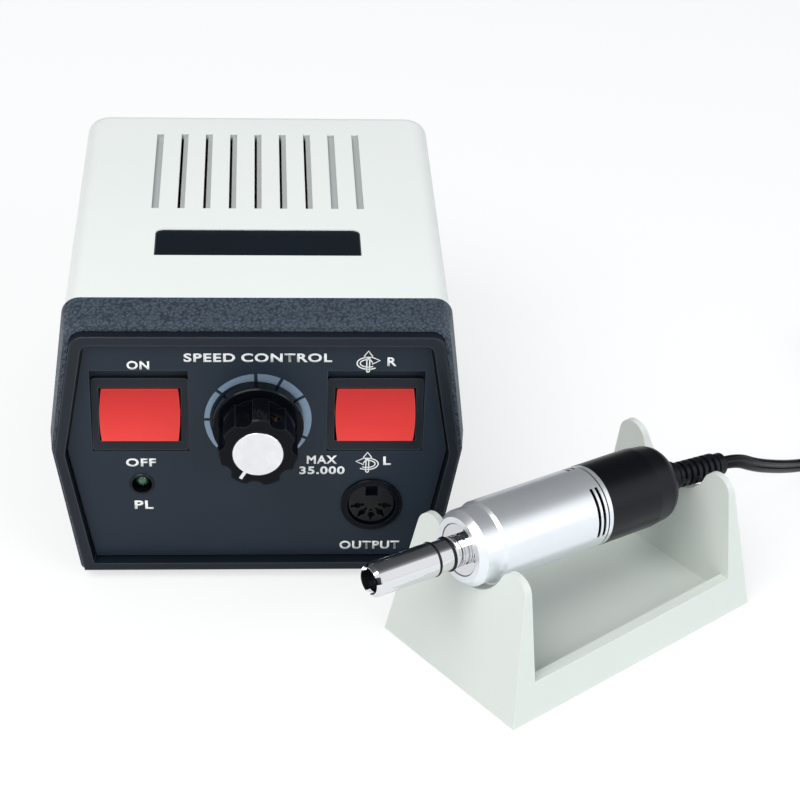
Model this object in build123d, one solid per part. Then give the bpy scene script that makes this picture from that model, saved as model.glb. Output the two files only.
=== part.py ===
from build123d import *
import os
from math import asin, atan2, ceil, cos, pi, radians, sin, sqrt, tan

# Dental laboratory micromotor: control unit, straight handpiece and its cradle.
# Millimetres. +Z is up, the bench is z = 0, and the unit's front looks along -Y.
# Sizes are laid out from the bench under the middle of the control unit, then moved
# so that the origin is on the bench at the middle of the whole set's footprint.

# General fits
overrun = 1.0
slip_gap = 0.15
seat_gap = 0.3
running_gap = 0.06

# Control unit, outer shell
unit_depth = 143.0
foot_height = 2.5
frame_lift = 1.5
waist_rise = 45.8
roof_rise = 95.5
case_bottom_half = 56.0
case_waist_half = 65.2
case_roof_half = 59.4
shell_wall = 2.5
roof_edge_radius = 5.0
back_corner_radius = 8.0
case_edge_radius = 3.0

# Front bezel, the leather-grained band
bezel_setback = 3.3
bezel_depth = 10.8
bezel_back_bottom_half = 58.0
bezel_back_waist_half = 66.4
bezel_back_top_half = 60.2
bezel_front_bottom_half = 57.6
bezel_front_waist_half = 65.2
bezel_front_top_half = 59.0
bezel_top_fall = 2.3
bezel_corner_radius = 6.0
bezel_low_radius = 2.0
spigot_depth = 5.0
spigot_wall = 1.5

# Front frame, the smooth rim round the panel
frame_bottom_half = 56.5
frame_waist_half = 64.1
frame_top_half = 57.4
frame_rise = 89.7
frame_corner_radius = 4.5
frame_bar = 3.2
frame_bottom_bar = 3.0
frame_depth = 11.4
frame_edge_radius = 0.6
frame_flange = 2.0

# Front panel
panel_recess = 3.5
panel_thickness = 2.4
panel_groove = 0.8

# Rocker switches
switch_offset = 37.1
switch_rise = 45.4
switch_tilt = 9.0
switch_bezel_width = 30.3
switch_bezel_height = 25.0
switch_bezel_thickness = 1.6
pocket_headroom = 5.2
pocket_depth = 4.1
pocket_wall = 1.4
switch_body_width = 28.4
switch_body_height = 22.4
switch_body_depth = 16.0
switch_well_depth = 9.0
rocker_width = 25.2
rocker_end_width = 24.0
rocker_height = 17.2
rocker_crown = 2.4
rocker_end_proud = 1.6
rocker_skirt = 6.0
rocker_skirt_inset = 0.5
rocker_gap = 0.6
rocker_pivot_depth = 2.5
rocker_pin_radius = 1.5
rocker_pin_length = 0.9
rocker_half_travel = 7.0
terminal_width = 6.3
terminal_thickness = 0.8
terminal_length = 8.0
terminal_pitch = 7.0
terminal_root = 1.0

# Dial scale, printed round the knob
dial_rise = 57.3
dial_outer_radius = 16.9
dial_inner_radius = 14.3
dial_inner_shift = 0.9
dial_thickness = 0.25
dial_gap_width = 1.1
dial_start_angle = -49.0
dial_end_angle = 219.0
dial_gap_angles = (-25.0, 31.0, 63.5, 92.5, 140.0, 180.0)

# Speed knob and its potentiometer
knob_panel_gap = 0.7
knob_skirt_radius = 14.4
knob_skirt_height = 4.2
knob_neck_radius = 10.4
knob_neck_height = 7.0
knob_rib_radius = 12.4
knob_scallop_radius = 3.4
knob_scallop_depth = 1.9
knob_height = 19.2
knob_edge_radius = 0.4
knob_well_radius = 9.5
knob_well_depth = 3.2
knob_cap_radius = 7.9
knob_cap_proud = 0.6
knob_cap_recess = 0.8
knob_pointer_length = 3.0
knob_pointer_width = 1.1
knob_pointer_angle = 240.0
knob_lobes = 7
set_screw_radius = 1.7
set_screw_height = 12.8
shaft_radius = 3.0
shaft_end_height = 16.5
bushing_radius = 3.5
nut_across_flats = 10.0
nut_thickness = 2.0
pot_body_radius = 8.2
pot_body_depth = 9.5
pot_lug_width = 2.4
pot_lug_length = 6.0
pot_lug_thickness = 0.8
pot_lug_pitch = 5.0
pot_shaft_tail = 5.0

# Pilot lamp
lamp_offset = -37.1
lamp_rise = 32.4
lamp_rim_radius = 3.95
lamp_hole_radius = 3.25
lamp_rim_proud = 0.5
lamp_tube_radius = 3.7
lamp_tube_depth = 6.0
lamp_radius = 2.5
lamp_recess = 0.9
lamp_flange_radius = 2.95
lamp_flange_thickness = 1.0
lamp_body_length = 6.5
lamp_lead_radius = 0.3
lamp_lead_length = 9.0
lamp_lead_pitch = 2.54

# Output socket, round with five contacts
socket_offset = 36.7
socket_rise = 24.2
socket_flange_radius = 9.95
socket_flange_thickness = 1.0
socket_mouth_radius = 7.9
socket_body_radius = 8.8
socket_body_depth = 12.0
socket_insert_radius = 7.3
socket_insert_base = 1.5
socket_insert_setback = 1.2
socket_insert_depth = 8.0
socket_key_width = 4.0
socket_key_depth = 4.2
contact_circle_radius = 4.5
contact_spread = 40.0
contact_slot_length = 4.5
contact_slot_width = 1.0
contact_hole_radius = 1.15
contact_bore_radius = 0.75
contact_depth = 3.0
contact_tail = 4.0
contact_count = 5

# Roof: vent grooves and name plate
vent_count = 9
vent_pitch = 8.5
vent_width = 2.4
vent_length = 54.8
vent_front_y = 0.5
vent_depth = 1.3
slit_width = 0.85
slit_first = 1
slit_last = 6
plate_width = 66.1
plate_length = 16.9
plate_front_y = -30.7
plate_thickness = 0.8
plate_sink = 0.3
plate_corner_radius = 2.6
plate_gap = 0.2

# Case fixings
foot_radius = 6.5
foot_inset_x = 14.0
foot_inset_y = 18.0
foot_top_radius = 7.5
foot_plug_radius = 2.4
foot_plug_length = 2.5
boss_radius = 4.0
boss_inset_x = 8.0
boss_front_inset = 44.0
boss_back_inset = 12.0
screw_radius = 1.5
screw_head_radius = 2.8
screw_head_height = 2.0
screw_length = 12.0
screw_slot_width = 0.8
screw_slot_depth = 1.0
panel_screw_reach = 6.0

# Rear panel and what it carries
rear_width = 102.0
rear_height = 36.0
rear_thickness = 2.0
rear_mid_rise = 23.0
rear_window_margin = 6.0
rear_screw_margin = 3.6
rear_boss_radius = 3.0
rear_gap_count = 5
gland_flange_radius = 7.0
gland_flange_depth = 4.0
gland_body_radius = 5.6
gland_bore_radius = 3.4
gland_inner_depth = 6.0
gland_nut_radius = 8.0
gland_nut_depth = 3.0
fuse_flange_radius = 7.5
fuse_flange_depth = 2.0
fuse_body_radius = 6.0
fuse_body_depth = 26.0
fuse_bore_radius = 4.6
fuse_cap_radius = 6.4
fuse_cap_height = 5.0
fuse_cap_slot_width = 1.4
fuse_cap_slot_depth = 1.5
fuse_stem_radius = 3.6
fuse_stem_length = 9.0
pedal_flange_radius = 8.5
pedal_flange_depth = 1.2
pedal_body_radius = 7.4
pedal_body_depth = 12.0
pedal_mouth_radius = 6.2
pedal_mouth_depth = 6.0
pedal_pin_radius = 0.8
pedal_pin_circle = 3.9
pedal_pin_count = 3
selector_width = 20.0
selector_height = 9.0
selector_depth = 7.0
selector_travel = 4.0
selector_knob_width = 6.0
selector_knob_height = 4.0
selector_knob_proud = 3.5
selector_shoe_height = 6.0
selector_shoe_depth = 2.0
selector_wall = 1.0

# Inside the unit
core_width = 57.0
core_height = 48.0
core_depth = 28.0
core_limb = 9.5
core_x = 24.0
core_y = 5.0
core_pad = 3.0
winding_side = 7.5
winding_end = 9.0
clamp_thickness = 1.5
clamp_foot = 8.0
board_width = 44.0
board_length = 72.0
board_thickness = 1.6
board_x = -28.0
board_y = 16.0
board_post_height = 6.0
board_post_radius = 3.0
board_post_inset = 5.0
capacitor_radius = 9.0
capacitor_height = 30.0
capacitor_y = -10.0
sink_width = 34.0
sink_thickness = 3.0
sink_height = 30.0
sink_fin_depth = 9.0
sink_fin_thickness = 1.5
sink_fins = 6
sink_y = 22.0
relay_width = 16.0
relay_length = 20.0
relay_height = 12.0
relay_y = 2.0

# Cradle
cradle_x = 100.58
cradle_y = -90.95
cradle_turn = 36.5
cradle_length = 103.6
cradle_width = 62.0
cradle_height = 48.4
cradle_end_lean = 7.4
cradle_side_lean = 6.6
cradle_end_inner = 42.3
cradle_rail_height = 13.0
cradle_rail_wall = 3.6
cradle_floor = 6.5
cradle_shell = 3.5
cradle_horn_radius = 5.6
cradle_horn_spread = 19.2
cradle_notch_bottom = 34.8
cradle_edge_radius = 1.6

# Handpiece, lengths along its axis from the nose tip
handpiece_turn = 32.4
handpiece_drop = 3.5
saddle_station = 38.5
rest_gap = 0.7
nose_radius = 5.3
nose_length = 29.9
nose_tip_radius = 1.0
nose_land_radius = 5.0
nose_mouth_radius = 4.0
nose_mouth_depth = 3.6
nose_bore_radius = 3.7
nose_bore_depth = 14.0
nose_inner_radius = 2.9
nose_notch_width = 2.2
nose_notch_depth = 1.7
nose_notches = 3
ring_section_radius = 0.5
ring_sunk = 0.5
ring_stations = (22.8, 28.4)
neck_radius = 4.5
neck_rib_radius = 4.95
neck_rib_width = 0.55
neck_ribs = 3
face_station = 33.0
flange_radius = 8.1
flange_sunk = 0.25
flange_thickness = 3.0
collar_face_radius = 10.35
collar_round = 2.2
collar_radius = 12.1
collar_length = 9.0
collar_step = 1.0
housing_radius = 12.95
housing_wall = 1.25
housing_end_station = 83.4
vent_arc = 74.0
vent_ring_width = 1.1
vent_ring_stations = (77.9, 79.9)
vent_sets = 3
vent_first_angle = -62.0
rim_width = 1.5
rim_groove_width = 0.5
rim_groove_depth = 0.35
cap_radius = 13.05
cap_end_radius = 12.4
cap_straight = 20.0
cap_length = 30.1
cap_round = 5.0
cap_wall = 1.6
boot_root_radius = 5.1
boot_core_radius = 3.2
boot_rib_radius = 4.2
boot_end_radius = 3.7
boot_length = 25.5
boot_ribs = 7
boot_root_length = 3.6
boot_end_length = 2.6
boot_web = 1.5
boot_flange_margin = 0.3
boot_step = 1.4
boot_droop = 4.5

# Handpiece, inside
rotor_shaft_radius = 1.6
rotor_front_station = 9.0
rotor_back_station = 106.0
dog_radius = 3.3
dog_front_station = 4.5
dog_length = 8.0
dog_slot_width = 1.6
dog_slot_depth = 3.0
bearing_radius = 6.0
bearing_width = 4.5
front_bearing_station = 36.8
back_bearing_station = 100.0
armature_radius = 7.6
armature_station = 48.0
armature_length = 26.0
armature_slots = 7
armature_slot_width = 1.4
armature_slot_depth = 3.0
commutator_radius = 4.0
commutator_station = 82.0
commutator_length = 9.0
magnet_thickness = 3.2
magnet_arc = 130.0
brush_side = 3.6
brush_length = 4.4
brush_station = 86.5
brush_gap = 0.08
spring_radius = 1.4
spring_wire_radius = 0.25
spring_turns = 4
spring_length = 2.6
holder_ring_radius = 11.2
holder_ring_depth = 6.0
holder_bore_radius = 5.0

# Middle of the footprint of unit, cradle and handpiece, from the unit's middle
footprint_x = 47.13
footprint_y = -32.94

# Free cord, its wound-up length and the plug
cord_radius = 2.4
cord_pitch_gap = 0.6
coil_x = 256.0
coil_y = 43.0
coil_outer_radius = 39.0
coil_turns = 8.25
coil_layers = 2
coil_start_angle = -90.0
steps_per_turn = 4
coil_lead_out = 22.0
tie_thickness = 0.7
tie_width = 7.0
tie_angle = 150.0
tie_gap = 0.35
plug_length = 34.0
plug_neck_radius = 3.6
plug_neck_length = 9.0
plug_end_chamfer = 0.4
plug_grip_grooves = 5
plug_groove_width = 1.2
plug_groove_depth = 0.6
plug_skirt_radius = 7.8
plug_skirt_length = 10.0
plug_skirt_wall = 0.4
plug_key_width = 3.2
plug_key_depth = 2.8
plug_skirt_seat = 3.0
plug_pin_radius = 0.7
plug_pin_length = 6.0

# The free cord's route, from the strain relief to the start of its coil
cord_first_run = 7.6
cord_route = [
    (165.0, -52.0, 32.1),
    (175.0, -40.0, 23.0),
    (185.0, -27.0, 14.0),
    (195.0, -15.4, 6.9),
    (206.5, -5.8, 3.1),
    (221.0, 0.9, 3.1),
    (237.0, 4.0, 3.1),
]

# Places that follow from the sizes above
front_y = -unit_depth / 2
back_y = unit_depth / 2
case_z = foot_height
base_z = case_z + frame_lift
waist_z = base_z + waist_rise
roof_z = base_z + roof_rise
bezel_front_y = front_y + bezel_setback
bezel_back_y = bezel_front_y + bezel_depth
panel_y = front_y + panel_recess
well_z = case_z + shell_wall
fitting_widths = selector_width + (pedal_flange_radius + fuse_flange_radius + gland_nut_radius) * 2
rear_gap = (rear_width - rear_window_margin * 2 - fitting_widths) / rear_gap_count
selector_offset = -rear_width / 2 + rear_window_margin + rear_gap + selector_width / 2
pedal_offset = selector_offset + selector_width / 2 + rear_gap + pedal_flange_radius
fuse_offset = pedal_offset + pedal_flange_radius + rear_gap + fuse_flange_radius
gland_offset = fuse_offset + fuse_flange_radius + rear_gap + gland_nut_radius


def depth_plane(y, x=0, z=0):
    """A plane square to Y whose local axes are X and Z, facing the front."""
    return Plane(origin=(x, y, z), x_dir=(1, 0, 0), z_dir=(0, -1, 0))


def slab(outline, y_front, y_back):
    """The solid of an X-Z outline between two depths."""
    return extrude(depth_plane(y_back) * outline, y_back - y_front)


def block(x_low, x_high, y_low, y_high, z_low, z_high):
    """A box between two corners."""
    size = (x_high - x_low, y_high - y_low, z_high - z_low)
    return Pos(x_low, y_low, z_low) * Box(*size, align=(Align.MIN,) * 3)


def rod(plane, radius, start, end):
    """A round bar along a plane's own Z."""
    length = end - start
    return plane * Pos(0, 0, start) * Cylinder(radius, length, align=(Align.CENTER, Align.CENTER, Align.MIN))


def tube(plane, outer, inner, start, end):
    """A round tube along a plane's own Z."""
    return rod(plane, outer, start, end) - rod(plane, inner, start - overrun, end + overrun)


def bar(plane, x_mid, y_mid, width, height, start, end):
    """A straight bar of rectangular section along a plane's own Z."""
    place = plane * Pos(x_mid, y_mid, start)
    return place * Box(width, height, end - start, align=(Align.CENTER, Align.CENTER, Align.MIN))


def turned(plane, outline):
    """A turned piece: an outline of (radius, station) points spun about the plane's Z."""
    profile = Plane(origin=(0, 0, 0), x_dir=(1, 0, 0),
                    z_dir=(0, -1, 0)) * make_face(Polyline(*outline, close=True))
    return plane * revolve(profile, Axis.Z)


def polygon(points):
    return make_face(Polyline(*points, close=True))


def joined(shapes):
    """Separate solids as one group."""
    solids = []
    for shape in shapes:
        solids.extend(shape.solids())
    return Compound(solids)


def unit_section(bottom_half, waist_half, top_half, top_z, corner, low_corner, inset=0):
    """The unit's six-sided outline, with rounded upper and lower corners."""
    outline = polygon([
        (-bottom_half + inset, case_z + inset),
        (bottom_half - inset, case_z + inset),
        (waist_half - inset, waist_z),
        (top_half - inset, top_z - inset),
        (-top_half + inset, top_z - inset),
        (-waist_half + inset, waist_z),
    ])
    outline = fillet(outline.vertices().sort_by(Axis.Y)[:2], low_corner)
    return fillet(outline.vertices().sort_by(Axis.Y)[-2:], corner)


def round_back(body, radius):
    """Round the two upright edges at the back."""
    back_edges = body.faces().sort_by(Axis.Y)[-1].edges().sort_by(Axis.X)
    return fillet([back_edges[0], back_edges[-1]], radius)


def cover_form(inset, front):
    half_waist = case_waist_half - inset
    half_roof = case_roof_half - inset
    top = roof_z - inset
    outline = polygon([(-half_waist, waist_z), (half_waist, waist_z), (half_roof, top), (-half_roof, top)])
    body = round_back(slab(outline, front, back_y - inset), back_corner_radius - inset)
    roof_edges = body.faces().sort_by(Axis.Z)[-1].edges().sort_by(Axis.Y)[1:]
    return fillet(roof_edges, roof_edge_radius - inset)


def boss_places():
    x = case_bottom_half - boss_inset_x
    rows = (front_y + boss_front_inset, back_y - boss_back_inset)
    return [(side * x, y) for side in (-1, 1) for y in rows]


def top_cover():
    shell = cover_form(0, bezel_back_y)
    shell -= cover_form(shell_wall, bezel_back_y - overrun)
    for index in range(vent_count):
        x = (index - (vent_count - 1) / 2) * vent_pitch
        groove = block(x - vent_width / 2, x + vent_width / 2, vent_front_y, vent_front_y + vent_length,
                       roof_z - vent_depth, roof_z + overrun)
        shell -= groove
        if slit_first <= index <= slit_last:
            shell -= block(x - vent_width / 2, x - vent_width / 2 + slit_width,
                           vent_front_y, vent_front_y + vent_length,
                           roof_z - shell_wall - overrun, roof_z)
    seat = plate_outline(plate_gap, roof_z - plate_sink - plate_thickness)
    shell -= extrude(seat, plate_thickness + plate_sink + overrun)
    for x, y in boss_places():
        post = Plane(origin=(x, y, 0))
        shell += rod(post, boss_radius, waist_z, roof_z - shell_wall)
        shell -= rod(post, screw_radius, waist_z - overrun, waist_z + screw_length)
    return shell


def plate_outline(margin, z):
    half = plate_width / 2 + margin
    front = plate_front_y - margin
    back = plate_front_y + plate_length + margin
    outline = polygon([(-half, front), (half, front), (half, back), (-half, back)])
    outline = fillet(outline.vertices().sort_by(Axis.Y)[-2:], plate_corner_radius + margin)
    return Pos(0, 0, z) * outline


def nameplate():
    return extrude(plate_outline(0, roof_z - plate_sink - plate_thickness), plate_thickness)


def case_form(inset, front, top):
    half_bottom = case_bottom_half - inset
    half_waist = case_waist_half - inset
    low = case_z + inset
    outline = polygon([(-half_bottom, low), (half_bottom, low), (half_waist, top), (-half_waist, top)])
    body = round_back(slab(outline, front, back_y - inset), back_corner_radius - inset)
    floor_edges = body.faces().sort_by(Axis.Z)[0].edges().sort_by(Axis.Y)[1:]
    return fillet(floor_edges, max(case_edge_radius - inset, case_edge_radius / 4))


def foot_places():
    x = case_bottom_half - foot_inset_x
    y = unit_depth / 2 - foot_inset_y
    return [(sx * x, sy * y) for sx in (-1, 1) for sy in (-1, 1)]


def rear_screw_places():
    x = rear_width / 2 - rear_screw_margin
    z = rear_height / 2 - rear_screw_margin
    middle = base_z + rear_mid_rise
    return [(sx * x, middle + sz * z) for sx in (-1, 1) for sz in (-1, 1)]


def board_post_places():
    x = board_width / 2 - board_post_inset
    y = board_length / 2 - board_post_inset
    return [(board_x + sx * x, board_y + sy * y) for sx in (-1, 1) for sy in (-1, 1)]


def lower_case():
    case = case_form(0, bezel_back_y, waist_z)
    case -= case_form(shell_wall, bezel_back_y - overrun, waist_z)
    half_x = rear_width / 2 - rear_window_margin
    half_z = rear_height / 2 - rear_window_margin
    middle = base_z + rear_mid_rise
    case -= block(-half_x, half_x, back_y - shell_wall - overrun, back_y + overrun,
                  middle - half_z, middle + half_z)
    for x, z in rear_screw_places():
        hole = depth_plane(back_y, x, z)
        case += rod(hole, rear_boss_radius, 0, panel_screw_reach)
        case -= rod(hole, screw_radius, -overrun, panel_screw_reach + overrun)
    for x, y in boss_places():
        post = Plane(origin=(x, y, 0))
        case += rod(post, boss_radius, case_z + overrun, waist_z)
        case -= rod(post, screw_radius + slip_gap, case_z - overrun, waist_z + overrun)
        case -= rod(post, screw_head_radius + slip_gap, case_z - overrun, waist_z - overrun * 2)
    for x, y in foot_places():
        case -= rod(Plane(origin=(x, y, 0)), foot_plug_radius, case_z - overrun, well_z + overrun)
    for x, y in board_post_places():
        case += rod(Plane(origin=(x, y, 0)), board_post_radius, well_z - overrun, well_z + board_post_height)
    for y in clamp_screw_places():
        post = Plane(origin=(core_x, y, 0))
        case += rod(post, boss_radius, well_z - overrun, well_z + core_pad)
        case -= rod(post, screw_radius, well_z, well_z + core_pad + overrun)
    return case


def screw(plane, length):
    """A pan head screw whose head sits on the plane and whose shank runs down its -Z."""
    body = rod(plane, screw_radius, -length, 0) + rod(plane, screw_head_radius, 0, screw_head_height)
    reach = screw_head_radius * 2
    return body - bar(plane, 0, 0, reach, screw_slot_width,
                      screw_head_height - screw_slot_depth, screw_head_height + overrun)


def case_screws():
    screws = []
    for x, y in boss_places():
        seat = Plane(origin=(x, y, waist_z - overrun * 2), x_dir=(1, 0, 0), z_dir=(0, 0, -1))
        screws.append(screw(seat, screw_length))
    for x, z in rear_screw_places():
        seat = Plane(origin=(x, back_y + rear_thickness, z), x_dir=(1, 0, 0), z_dir=(0, 1, 0))
        screws.append(screw(seat, panel_screw_reach + rear_thickness))
    return joined(screws)


def rubber_feet():
    feet = []
    for x, y in foot_places():
        pad = turned(Plane(origin=(x, y, 0)), [
            (0, 0), (foot_radius, 0), (foot_top_radius, case_z), (foot_plug_radius - slip_gap, case_z),
            (foot_plug_radius - slip_gap, case_z + foot_plug_length), (0, case_z + foot_plug_length),
        ])
        feet.append(pad)
    return joined(feet)


def front_bezel():
    back = unit_section(bezel_back_bottom_half, bezel_back_waist_half, bezel_back_top_half, roof_z,
                        bezel_corner_radius, bezel_low_radius)
    front = unit_section(bezel_front_bottom_half, bezel_front_waist_half, bezel_front_top_half,
                         roof_z - bezel_top_fall, bezel_corner_radius, bezel_low_radius)
    band = loft([depth_plane(bezel_back_y) * back, depth_plane(bezel_front_y) * front], ruled=True)
    band -= slab(frame_section(-slip_gap), bezel_front_y - overrun, front_y + frame_depth + slip_gap)
    band -= slab(frame_section(frame_bar), front_y, bezel_back_y + overrun)
    return band + slab(spigot_section(slip_gap) - spigot_section(slip_gap + spigot_wall),
                       bezel_back_y, bezel_back_y + spigot_depth)


def spigot_section(inset):
    """The outline just inside the shell, where the bezel plugs in."""
    corner = roof_edge_radius - shell_wall
    return unit_section(case_bottom_half, case_waist_half, case_roof_half, roof_z, corner, corner / 2,
                        shell_wall + inset)


def frame_section(inset):
    """The frame's outline, drawn in by an inset."""
    side = inset
    low = inset * frame_bottom_bar / frame_bar
    outline = polygon([
        (-frame_bottom_half + side, base_z + low),
        (frame_bottom_half - side, base_z + low),
        (frame_waist_half - side, waist_z),
        (frame_top_half - side, base_z + frame_rise - side),
        (-frame_top_half + side, base_z + frame_rise - side),
        (-frame_waist_half + side, waist_z),
    ])
    return fillet(outline.vertices().sort_by(Axis.Y)[-2:], frame_corner_radius - side / 2)


def front_frame():
    ring = slab(frame_section(0), front_y, front_y + frame_depth)
    ring = fillet(ring.faces().sort_by(Axis.Y)[0].edges(), frame_edge_radius)
    ring -= slab(frame_section(frame_bar), front_y - overrun, panel_y + panel_thickness)
    return ring - slab(frame_section(frame_bar + frame_flange), panel_y, front_y + frame_depth + overrun)


def switch_plane(side):
    """The middle of a switch bezel's face, leaning back, with its Z facing out."""
    lean = radians(switch_tilt)
    half = switch_bezel_height / 2
    origin = (side * switch_offset, panel_y + half * sin(lean), base_z + switch_rise + half * cos(lean))
    return Plane(origin=origin, x_dir=(1, 0, 0), z_dir=(0, -cos(lean), sin(lean)))


def pocket(side):
    """The hollow that a switch sits in: it deepens towards the top."""
    lean = radians(switch_tilt)
    drop = switch_bezel_thickness * sin(lean) + slip_gap
    low = base_z + switch_rise - drop
    high = base_z + switch_rise + switch_bezel_height * cos(lean) + pocket_headroom
    floor_low = panel_y + switch_bezel_thickness / cos(lean) - drop * tan(lean)
    outline = polygon([
        (panel_y - overrun, low), (floor_low, low),
        (floor_low + (high - low) * tan(lean), high), (panel_y - overrun, high),
    ])
    half = switch_bezel_width / 2 + slip_gap
    start = Plane(origin=(side * switch_offset - half, 0, 0), x_dir=(0, 1, 0), z_dir=(1, 0, 0))
    return extrude(start * outline, half * 2)


def front_panel():
    plate = slab(frame_section(frame_bar + panel_groove), panel_y, panel_y + panel_thickness)
    lean = radians(switch_tilt)
    for side in (-1, 1):
        half = switch_bezel_width / 2 + pocket_wall
        low = base_z + switch_rise - pocket_wall
        high = base_z + switch_rise + switch_bezel_height * cos(lean) + pocket_headroom + pocket_wall
        plate += block(side * switch_offset - half, side * switch_offset + half,
                       panel_y + panel_thickness / 2,
                       panel_y + pocket_depth + switch_bezel_thickness + pocket_wall, low, high)
        plate -= pocket(side)
        plate -= bar(switch_plane(side), 0, 0, switch_body_width + slip_gap * 2,
                     switch_body_height + slip_gap * 2,
                     -switch_body_depth, overrun)
    dial = depth_plane(panel_y + panel_thickness, 0, base_z + dial_rise)
    plate -= rod(dial, bushing_radius + slip_gap, -overrun, panel_thickness + overrun)
    lamp = depth_plane(panel_y + panel_thickness, lamp_offset, base_z + lamp_rise)
    plate -= rod(lamp, lamp_tube_radius + slip_gap, -overrun, panel_thickness + overrun)
    socket = depth_plane(panel_y + panel_thickness, socket_offset, base_z + socket_rise)
    return plate - rod(socket, socket_body_radius + slip_gap, -overrun, panel_thickness + overrun)


def rocker_pivot(side):
    return Plane(switch_plane(side) * Pos(0, 0, -rocker_pivot_depth))


def switch_body(side):
    face = switch_plane(side)
    back = -switch_bezel_thickness - switch_body_depth
    body = bar(face, 0, 0, switch_bezel_width, switch_bezel_height, -switch_bezel_thickness, 0)
    body = fillet(body.edges().filter_by(lambda e: e.length < switch_bezel_thickness + slip_gap), overrun)
    body += bar(face, 0, 0, switch_body_width, switch_body_height, back, -switch_bezel_thickness)
    body -= bar(face, 0, 0, rocker_width + rocker_gap, rocker_height + rocker_gap * 2, -switch_well_depth,
                overrun)
    pivot = rocker_pivot(side)
    across = Plane(origin=pivot.origin, x_dir=pivot.z_dir, z_dir=pivot.x_dir)
    reach = rocker_width / 2 + rocker_pin_length + running_gap
    body -= rod(across, rocker_pin_radius + running_gap, -reach, reach)
    for row in (-1, 0, 1):
        body += bar(face, 0, row * terminal_pitch, terminal_width, terminal_thickness,
                    back - terminal_length, back + terminal_root)
    return body


def rocker(side):
    """The red rocker, drawn with its upper end pressed."""
    tilted = rocker_pivot(side) * Rot(-rocker_half_travel, 0, 0)
    half = rocker_height / 2
    top = rocker_pivot_depth + rocker_end_proud
    crown = rocker_pivot_depth + rocker_crown
    skirt = rocker_pivot_depth - rocker_skirt
    face_arc = ThreePointArc((-half, top), (0, crown), (half, top))
    sides = Polyline((half, top), (half - rocker_skirt_inset, skirt), (-half + rocker_skirt_inset, skirt),
                     (-half, top))
    outline = make_face([face_arc, sides])
    start = Plane(origin=(-rocker_width / 2, 0, 0), x_dir=(0, 1, 0), z_dir=(1, 0, 0))
    body = extrude(start * outline, rocker_width)
    end_half = rocker_end_width / 2
    bulge = rocker_width / 2
    plan = make_face([
        Line((-end_half, half), (end_half, half)),
        ThreePointArc((end_half, half), (bulge, 0), (end_half, -half)),
        Line((end_half, -half), (-end_half, -half)),
        ThreePointArc((-end_half, -half), (-bulge, 0), (-end_half, half)),
    ])
    body = body & extrude(Pos(0, 0, skirt - overrun) * plan, crown - skirt + overrun * 2)
    across = Plane(origin=(0, 0, 0), x_dir=(0, 0, 1), z_dir=(1, 0, 0))
    reach = rocker_width / 2 + rocker_pin_length
    body += rod(across, rocker_pin_radius, -reach, reach)
    return tilted * body


def dial_scale():
    """The silver arc: its inner edge is off centre, so it is wider towards full speed."""
    face = depth_plane(panel_y, 0, base_z + dial_rise)
    ring = rod(face, dial_outer_radius, 0, dial_thickness)
    ring -= rod(face * Pos(-dial_inner_shift, 0, 0), dial_inner_radius, -overrun, dial_thickness + overrun)
    reach = dial_outer_radius * 2
    wedge = polygon([
        (0, 0),
        (reach * cos(radians(dial_start_angle)), reach * sin(radians(dial_start_angle))),
        (0, -reach * 2),
        (reach * cos(radians(dial_end_angle)), reach * sin(radians(dial_end_angle))),
    ])
    ring -= extrude(face * Pos(0, 0, -overrun) * wedge, dial_thickness + overrun * 2)
    for angle in dial_gap_angles:
        spoke = face * Rot(0, 0, angle) * Pos(reach / 2, 0, -overrun)
        ring -= spoke * Box(reach, dial_gap_width, dial_thickness + overrun * 2,
                            align=(Align.CENTER, Align.CENTER, Align.MIN))
    return joined([ring])


def knob_plane():
    """The dial's middle on the panel's face, with Z along the shaft to the front."""
    return depth_plane(panel_y, 0, base_z + dial_rise)


def speed_knob():
    face = knob_plane()
    skirt_top = knob_panel_gap + knob_skirt_height
    body = turned(face, [
        (0, knob_panel_gap), (knob_skirt_radius, knob_panel_gap),
        (knob_skirt_radius, skirt_top - knob_edge_radius), (knob_skirt_radius - knob_edge_radius, skirt_top),
        (knob_neck_radius, skirt_top), (knob_neck_radius, knob_neck_height),
        (knob_rib_radius, knob_neck_height), (knob_rib_radius, knob_height - knob_edge_radius),
        (knob_rib_radius - knob_edge_radius, knob_height), (0, knob_height),
    ])
    throw = knob_rib_radius - knob_scallop_depth + knob_scallop_radius
    for lobe in range(knob_lobes):
        angle = knob_pointer_angle + (lobe + 1 / 2) * 360 / knob_lobes
        flute = face * Rot(0, 0, angle) * Pos(throw, 0, skirt_top)
        body -= flute * Cylinder(knob_scallop_radius, knob_height,
                                 align=(Align.CENTER, Align.CENTER, Align.MIN))
    body -= rod(face, knob_well_radius, 0, knob_panel_gap + knob_well_depth)
    body -= rod(face, shaft_radius, 0, shaft_end_height)
    body -= rod(face, knob_cap_radius, knob_height - knob_cap_recess, knob_height + overrun)
    body -= pointer_bar(overrun)
    return body - set_screw_bar(slip_gap, overrun * 3)


def pointer_bar(extra):
    """The pointer that runs out from the cap across the knob's front."""
    spoke = knob_plane() * Rot(0, 0, knob_pointer_angle)
    start = knob_cap_radius - overrun
    place = spoke * Pos(start, 0, knob_height - knob_cap_recess)
    return place * Box(knob_pointer_length + overrun, knob_pointer_width, knob_cap_recess + extra,
                       align=(Align.MIN, Align.CENTER, Align.MIN))


def set_screw_bar(gap, extra):
    spoke = knob_plane() * Pos(0, 0, set_screw_height) * Rot(0, 0, knob_pointer_angle + 180) * Rot(0, 90, 0)
    end = knob_rib_radius - knob_scallop_depth - set_screw_radius / 2
    return rod(Plane(spoke), set_screw_radius + gap, shaft_radius + running_gap, end + extra)


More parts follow.
